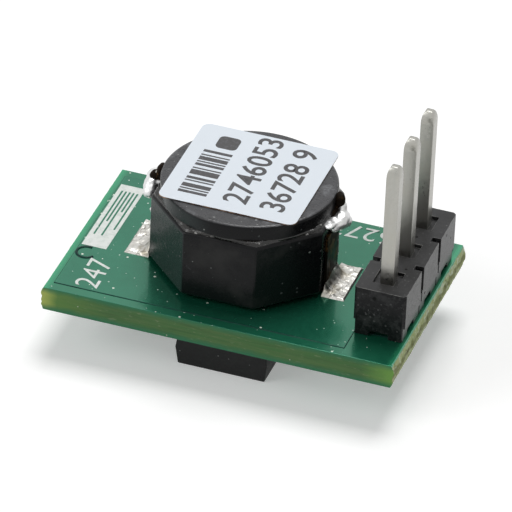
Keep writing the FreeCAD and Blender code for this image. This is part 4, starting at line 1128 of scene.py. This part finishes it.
def build_core():
    """The drum: lower flange, post, and a top flange with a rounded rim."""
    base, top, rim = CORE_LOW.z, CORE_HIGH.z, settings("inductor").rim_round
    flange, foot, post, groove_base = 3.03 * MM, 2.9 * MM, 1.6 * MM, base + 0.8 * MM
    outline = [(0.0, base), (foot, base), (flange, base + 0.1 * MM), (flange, groove_base),
               (post, groove_base), (post, SEAM_HIGH.z), (FLANGE_SIDE, SEAM_HIGH.z)]
    outline += arc(FLANGE_SIDE - rim, top - rim, rim, 0.0, 90.0, 6)
    outline += [(FLANGE_SIDE * share, top) for share in (0.9, 0.75, 0.5, 0.25)] + [(0.0, top)]
    bm = bmesh.new()
    spun(bm, outline, Vector((AXIS.x, AXIS.y, 0.0)), steps=128)
    keep_piece("drum_core", bm, (ground_ferrite, coated_ferrite), ("inductor_core",), angle=50.0,
               pick=lambda face: 0 if face.normal.z > 0.75 else 1)


def ring_reach(angle):
    """From the ring's axis to its eight-sided wall in a direction."""
    slant = (RING_SIDE + RING_FACET / 2) / math.sqrt(2)
    reaches = []
    for side in range(8):
        share = math.cos(angle - side * math.pi / 4)
        if share > 0.5:
            reaches.append((slant if side % 2 else RING_SIDE) / share)
    return min(reaches)


def build_ring():
    """The shield ring with rounded edges; its rear corners beside the terminals are cut back."""
    inductor = settings("inductor")
    bm = copied("inductor_shield_ring")
    for _, side in SIDES:
        corner = Vector((AXIS.x + side * RING_SIDE, AXIS.y + inductor.rear_cut, 0.0))
        everything = list(bm.verts) + list(bm.edges) + list(bm.faces)
        bmesh.ops.bisect_plane(bm, geom=everything, plane_co=corner, plane_no=(side * 0.95, 0.32, 0.0),
                               clear_outer=True)
        bmesh.ops.holes_fill(bm, edges=[edge for edge in bm.edges if edge.is_boundary])
    round_edges(bm, inductor.ring_round, 3)
    keep_piece("shield_ring", bm, (coated_ferrite,), ("inductor_shield_ring",), flat=True)


def build_seam():
    """The resin: an uneven glossy fillet from under the top flange to the ring's shoulder."""
    inductor = settings("inductor")
    top, base = SEAM_HIGH.z + 0.03 * MM, SEAM_LOW.z - 0.02 * MM
    inner = RING_SIDE - 0.9 * MM
    bulge = inductor.resin_bulge
    axis = Vector((AXIS.x, AXIS.y, 0.0))
    levels = 7
    outline = [(inner, top)] + [(RING_SIDE, top + (base - top) * step / levels) for step in range(levels + 1)]
    outline += [(inner, base), (inner, top)]
    bm = bmesh.new()
    spun(bm, outline, axis, steps=240)
    for vert in bm.verts:
        arm = (vert.co - axis).to_2d()
        if arm.length < RING_SIDE - 0.1 * MM:
            continue
        depth = max(0.0, (top - vert.co.z) / (top - base))
        edge = ring_reach(math.atan2(arm.y, arm.x)) - 0.05 * MM
        swell = bulge * (0.45 + 0.9 * uneven(vert.co, 700.0, 2.0) + 0.5 * uneven(vert.co, 2300.0, 4.0))
        reach = FLANGE_SIDE - 0.05 * MM + (edge - FLANGE_SIDE) * depth ** 0.8
        reach += swell * math.sin(math.pi * min(1.0, depth + 0.15))
        vert.co.x, vert.co.y = axis.x + arm.x * reach / arm.length, axis.y + arm.y * reach / arm.length
        vert.co.z += 0.05 * MM * uneven(vert.co, 1500.0, 6.0) * depth
    keep_piece("seam_resin", bm, (black_resin,), ("inductor_adhesive",), angle=70.0)


def build_terminal(side_name, side):
    """A terminal: a thin strip from under the ring up its wall, bowed a little off the ferrite."""
    inductor = settings("inductor")
    low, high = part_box(f"inductor_terminal_{side_name}")
    wall = AXIS.x + side * RING_SIDE
    thick = inductor.strip_thickness
    foot_end = low.x if side > 0 else high.x
    rise, steps = [], 12
    for step in range(steps + 1):
        share = step / steps
        rise.append((wall + side * inductor.strip_bow * math.sin(math.pi * share) ** 0.7,
                     low.z + thick + (high.z - low.z - thick) * share))
    outline = [(foot_end, low.z), (wall + side * thick, low.z)]
    outline += [(x + side * thick, z) for x, z in rise[1:]] + rise[::-1] + [(foot_end, low.z + thick)]
    bm = bmesh.new()
    face = bm.faces.new([bm.verts.new((x, low.y, z)) for x, z in outline])
    extruded(bm, [face], (0, inductor.strip_width, 0))
    bmesh.ops.recalc_face_normals(bm, faces=bm.faces)

    def at_rear_corner(vert):
        return vert.co.y > low.y + inductor.strip_width - MERGE and abs(vert.co.x) > abs(wall) + 0.02 * MM

    round_edges(bm, 0.06 * MM, 3, [edge for edge in bm.edges if all(map(at_rear_corner, edge.verts))])
    keep_piece(f"terminal_{side_name}", bm, (stained_tin, terminal_tin),
               (f"inductor_terminal_{side_name}",), pick=lambda face: 1 if face.normal.y > 0.2 else 0)


def give_finish(node, build):
    """Gives a CAD node a finish in place of its plain one."""
    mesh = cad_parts[node].data
    if not mesh.materials:
        mesh.materials.append(None)
    for index in range(len(mesh.materials)):
        mesh.materials[index] = material(build)


class CONVERTER_OT_inductor(bpy.types.Operator):
    """Build the inductor's drum, shield ring, resin seam, terminals and coated wire ends"""
    bl_idname = "converter.inductor"
    bl_label = "Inductor"

    def execute(self, context):
        build_core()
        build_seam()
        build_ring()
        for side_name, side in SIDES:
            build_terminal(side_name, side)
            bm = lump_mesh(lobe_places(COATED_LOBES[side_name], side), 7.0 + side)
            keep_piece(f"coated_wire_{side_name}", bm, (stained_tin,), angle=80.0)
        for node in ("inductor_winding", "winding_lead_left", "winding_lead_right"):
            give_finish(node, enamelled_copper)
        return {"FINISHED"}


# The label

def label_height(x, y):
    """Height of the label's waved face."""
    inductor = settings("inductor")
    lift = 0.5 + 0.5 * uneven((x, y, 0.0), 330.0, 8.0)
    return LABEL_LOW.z + inductor.film_thickness + inductor.wave * lift


def build_label_film():
    """The label: a grid drawn in to rounded corners, given thickness and a slight wave."""
    low, high = LABEL_LOW, LABEL_HIGH
    centre = (low + high) / 2
    half_x, half_y = (high.x - low.x) / 2, (high.y - low.y) / 2
    corner = settings("inductor").label_corner
    bm = bmesh.new()
    bmesh.ops.create_grid(bm, x_segments=56, y_segments=56, size=1.0)
    for vert in bm.verts:
        x, y = vert.co.x * half_x, vert.co.y * half_y
        over_x = max(0.0, (abs(x) - half_x + corner) / corner)
        over_y = max(0.0, (abs(y) - half_y + corner) / corner)
        if over_x and over_y:
            x = math.copysign(half_x - corner + corner * over_x * math.sqrt(1 - over_y ** 2 / 2), x)
            y = math.copysign(half_y - corner + corner * over_y * math.sqrt(1 - over_x ** 2 / 2), y)
        vert.co = Vector((centre.x + x, centre.y + y, low.z))
    for vert in extruded(bm, list(bm.faces)):
        vert.co.z = label_height(vert.co.x, vert.co.y)
    keep_piece("label_film", bm, (label_film, label_edge), ("inductor_label",), angle=50.0,
               pick=lambda face: 0 if face.normal.z > 0.5 else 1)


def follow_wave(bm):
    """Lays marks made at height zero on the label's waved face."""
    for vert in bm.verts:
        vert.co.z += label_height(vert.co.x, vert.co.y) - 0.002 * MM


# Widths of the printed bars in tenths of a millimetre, each with the space that follows it
BARS = ((2, 1), (1, 1), (3, 2), (1, 1), (2, 2), (4, 1), (1, 2), (2, 1), (1, 1), (3, 1), (1, 2), (2, 0))
# Printed figures, how far they stand in from the label's left edge, and their height, in millimetres
ROWS = (("2746053", 4.05, 1.18), ("36728 9", 5.85, 1.18))
# Printed shapes in millimetres: their inset from the label's edges, the ends of the bars and of the square
INSET, BAR_END, SQUARE_START, SQUARE_GAP, SQUARE_END = 0.75, 2.15, 1.1, 0.35, 1.4


class CONVERTER_OT_label(bpy.types.Operator):
    """Build the label and its plain printed bars, square and numerals"""
    bl_idname = "converter.label"
    bl_label = "Label"

    def execute(self, context):
        build_label_film()
        thickness = 0.008 * MM
        left, front = LABEL_LOW.x, LABEL_LOW.y
        bars = bmesh.new()
        place = front + INSET * MM
        for width, space in BARS:
            plate(bars, rectangle(left + INSET * MM, left + BAR_END * MM, place, place + width * 0.1 * MM),
                  0.0, thickness)
            place += (width + space) * 0.1 * MM
        square = rectangle(left + SQUARE_START * MM, left + BAR_END * MM, place + SQUARE_GAP * MM,
                           place + SQUARE_END * MM)
        plate(bars, square, 0.0, thickness, rounding=0.25 * MM)
        shapes = [bars]
        for figures, inset, size in ROWS:
            start = Vector((left + inset * MM, front + INSET * MM, thickness / 2))
            shapes.append(numerals(figures, size * MM, thickness, start, (0, 1, 0), (-1, 0, 0)))
        marks = join_meshes(shapes)
        follow_wave(marks)
        keep_piece("label_print_marks", marks, (label_print,))
        return {"FINISHED"}


# Solder at the inductor

def build_pad_solder(side_name, side):
    """Solder on a pad: a creased film that climbs the terminal in a hollow curve."""
    solder_settings, inductor = settings("solder"), settings("inductor")
    low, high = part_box(f"pad_solder_{side_name}")
    strip_low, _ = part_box(f"inductor_terminal_{side_name}")
    wall = AXIS.x + side * (RING_SIDE + inductor.strip_thickness * 0.5)
    outer = high.x - 0.1 * MM if side > 0 else low.x
    strip_middle = strip_low.y + inductor.strip_width / 2
    bm = bmesh.new()
    bmesh.ops.create_grid(bm, x_segments=56, y_segments=110, size=0.5)
    for vert in bm.verts:
        along, across = vert.co.x + 0.5, vert.co.y + 0.5
        x, y = wall + (outer - wall) * along, low.y + (high.y - low.y) * across
        place = (x, y, 0.0)
        beyond = max(0.0, abs(y - strip_middle) - inductor.strip_width / 2) / (0.2 * MM)
        near = math.exp(-((abs(x - wall) / (0.24 * MM)) ** 1.3)) / (1.0 + beyond ** 2)
        climb = solder_settings.climb * near * (1.0 + 0.35 * uneven(place, 1500.0, side * 2.0))
        rim = min(along * 8.0 + 0.6, (1 - along) * 16.0, across * 28.0, (1 - across) * 28.0, 1.0)
        skin = solder_settings.film * (0.9 + 0.6 * uneven(place, 900.0, side * 5.0))
        crease = abs(uneven(place, 1300.0, side * 11.0)) + 0.6 * abs(uneven(place, 2700.0, side * 6.0))
        fine = 0.25 * abs(uneven(place, 5600.0, side * 4.0))
        level = (skin + (crease + fine) * solder_settings.ripple * 1.1 + climb) * rim
        vert.co = Vector((x, y, BOARD_HIGH.z + max(0.01 * MM, level)))
    for vert in extruded(bm, list(bm.faces)):
        vert.co.z = BOARD_HIGH.z - 0.01 * MM
    keep_piece(f"pad_solder_{side_name}_finished", bm, (crumpled_solder,),
               (f"pad_solder_{side_name}",), angle=80.0)


class CONVERTER_OT_solder(bpy.types.Operator):
    """Build the solder at the inductor's terminals and pads"""
    bl_idname = "converter.solder"
    bl_label = "Inductor solder"

    def execute(self, context):
        for side_name, side in SIDES:
            bm = lump_mesh(lobe_places(SOLDER_LOBES[side_name], side), 3.0 + side)
            keep_piece(f"clip_solder_{side_name}_finished", bm, (solder,),
                       (f"clip_solder_{side_name}",), angle=80.0)
            build_pad_solder(side_name, side)
        return {"FINISHED"}


# Parts under the board

def dress(node, width, build, segments=2, flat=False):
    """Makes a finished piece of a CAD node, with its edges rounded by a width in millimetres."""
    bm = copied(node)
    round_edges(bm, width * MM, segments)
    keep_piece(f"{node}_finished", bm, (build,), (node,), flat=flat)


class CONVERTER_OT_underside(bpy.types.Operator):
    """Build the diode, regulator, chips and their solder under the board"""
    bl_idname = "converter.underside"
    bl_label = "Parts under the board"

    def execute(self, context):
        for node in ("diode_body", "regulator_body"):
            dress(node, 0.05, moulded_black, flat=True)
        for node in ("diode_lead_left", "diode_lead_right", "regulator_leads"):
            dress(node, 0.025, terminal_tin)
        for name in CHIP_NAMES:
            ceramic = resistor_ceramic if "resistor" in name else capacitor_ceramic
            dress(f"{name}_body", 0.02, ceramic)
            dress(f"{name}_ends", 0.04, tin_plating, segments=3)
        dress("component_solder", 0.02, solder)
        return {"FINISHED"}


# Stage

# Each lamp's azimuth and elevation in degrees, its distance and its side in metres
LAMPS = {"key": (-178.0, 70.0, 0.5, 0.25), "fill": (-55.0, 32.0, 0.5, 0.30)}
FLOOR_REACH = 3.0
FLOOR_GLOW = 0.30


def add_lamp(name, azimuth, elevation, distance, size, power):
    """A square soft lamp that looks at the module from a direction given in degrees."""
    turn, rise = math.radians(azimuth), math.radians(elevation)
    aim = Vector((0.0, 0.0, BOARD_HIGH.z))
    way = Vector((math.sin(turn) * math.cos(rise), -math.cos(turn) * math.cos(rise), math.sin(rise)))
    lamp = bpy.data.lights.new(name, "AREA")
    lamp.energy, lamp.size = power, size
    item = bpy.data.objects.new(name, lamp)
    item.location = aim + way * distance
    item.rotation_euler = way.to_track_quat("Z", "Y").to_euler()
    bpy.context.scene.collection.objects.link(item)


def light_path_mask(graph):
    """One for rays that come straight from the camera, from gloss or through glass."""
    path = graph.add("LightPath")
    seen = graph.math("ADD", path.outputs["Is Camera Ray"], path.outputs["Is Glossy Ray"])
    return graph.math("ADD", seen, path.outputs["Is Transmission Ray"], clamp=True)


def build_world(strength):
    """Even light from all round, and white where the camera or a reflection sees it."""
    world = bpy.data.worlds.new("studio")
    world.use_nodes = True
    graph = Graph(world.node_tree)
    background = world.node_tree.nodes["Background"]
    background.inputs["Color"].default_value = (1.0, 1.0, 1.0, 1.0)
    level = graph.add("Mix", ((0, light_path_mask(graph)), (2, strength), (3, 1.0)))
    graph.tree.links.new(level.outputs[0], background.inputs["Strength"])
    bpy.context.scene.world = world


def build_floor():
    """A large pale floor: it takes the object's shadow, shows near white where it is lit,
    and is seen through from below."""
    stage = settings("stage")
    bm = bmesh.new()
    bmesh.ops.create_grid(bm, x_segments=1, y_segments=1, size=FLOOR_REACH)
    mesh = bpy.data.meshes.new("floor")
    bm.to_mesh(mesh)
    bm.free()
    floor = bpy.data.objects.new("floor", mesh)
    bpy.context.scene.collection.objects.link(floor)
    surface = bpy.data.materials.new("pale_floor")
    surface.use_nodes = True
    graph = Graph(surface.node_tree)
    shader = surface.node_tree.nodes["Principled BSDF"]
    shader.inputs["Base Color"].default_value = (*stage.floor, 1.0)
    shader.inputs["Roughness"].default_value = 0.9
    shader.inputs["Specular IOR Level"].default_value = 0.0
    shader.inputs["Emission Color"].default_value = (1.0, 1.0, 1.0, 1.0)
    seen = graph.math("MULTIPLY", light_path_mask(graph), FLOOR_GLOW)
    graph.tree.links.new(seen, shader.inputs["Emission Strength"])
    front = graph.math("SUBTRACT", 1.0, graph.add("NewGeometry").outputs["Backfacing"])
    graph.tree.links.new(front, shader.inputs["Alpha"])
    mesh.materials.append(surface)


def build_camera():
    """The camera, from its angles and the place of the board's face in its view."""
    stage = settings("stage")
    turn, rise = stage.azimuth, stage.elevation
    ahead = Vector((-math.sin(turn) * math.cos(rise), math.cos(turn) * math.cos(rise), -math.sin(rise)))
    level_right = Vector((math.cos(turn), math.sin(turn), 0.0))
    level_up = level_right.cross(ahead)
    right = math.cos(stage.roll) * level_right + math.sin(stage.roll) * level_up
    up = right.cross(ahead)
    lens = bpy.data.cameras.new("camera")
    lens.lens, lens.sensor_width = stage.lens, 36.0
    lens.clip_start, lens.clip_end = 0.01, 10.0
    camera = bpy.data.objects.new("camera", lens)
    face = Vector((0.0, 0.0, BOARD_HIGH.z))
    camera.matrix_world = Matrix.Translation(
        face - stage.aim_right * right + stage.aim_down * up - stage.distance * ahead
    ) @ Matrix((right, up, -ahead)).transposed().to_4x4()
    bpy.context.scene.collection.objects.link(camera)
    bpy.context.scene.camera = camera


class CONVERTER_OT_stage(bpy.types.Operator):
    """Set the floor, the lamps and the camera at the photograph's angle"""
    bl_idname = "converter.stage"
    bl_label = "Stage"

    def execute(self, context):
        stage = settings("stage")
        build_floor()
        build_world(stage.sky)
        add_lamp("key", *LAMPS["key"], stage.key_power)
        add_lamp("fill", *LAMPS["fill"], stage.fill_power)
        build_camera()
        context.scene.view_settings.view_transform = "Standard"
        return {"FINISHED"}


OPERATORS = (CONVERTER_OT_board, CONVERTER_OT_board_marks, CONVERTER_OT_header, CONVERTER_OT_pins,
             CONVERTER_OT_inductor, CONVERTER_OT_label, CONVERTER_OT_solder, CONVERTER_OT_underside,
             CONVERTER_OT_stage)


class CONVERTER_PT_panel(bpy.types.Panel):
    """Shows the module's settings and its build buttons in the sidebar"""
    bl_idname = "CONVERTER_PT_panel"
    bl_label = "Converter module"
    bl_space_type = "VIEW_3D"
    bl_region_type = "UI"
    bl_category = "Converter"

    def draw(self, context):
        for group, kind in GROUPS.items():
            box = self.layout.box()
            for name in kind.__annotations__:
                box.prop(settings(group), name)
        for operator in OPERATORS:
            self.layout.operator(operator.bl_idname)


def register():
    """Registers the settings, the operators and the panel."""
    for kind in (*GROUPS.values(), *OPERATORS, CONVERTER_PT_panel):
        bpy.utils.register_class(kind)
    for name, kind in GROUPS.items():
        setattr(bpy.types.Scene, "converter_" + name, PointerProperty(type=kind))


def unregister():
    """Takes the settings, the operators and the panel away."""
    for name in GROUPS:
        delattr(bpy.types.Scene, "converter_" + name)
    for kind in reversed((*GROUPS.values(), *OPERATORS, CONVERTER_PT_panel)):
        bpy.utils.unregister_class(kind)


def main():
    """Builds every piece in order."""
    register()
    for operator in OPERATORS:
        family, name = operator.bl_idname.split(".")
        getattr(getattr(bpy.ops, family), name)()


if __name__ == "__main__":
    main()
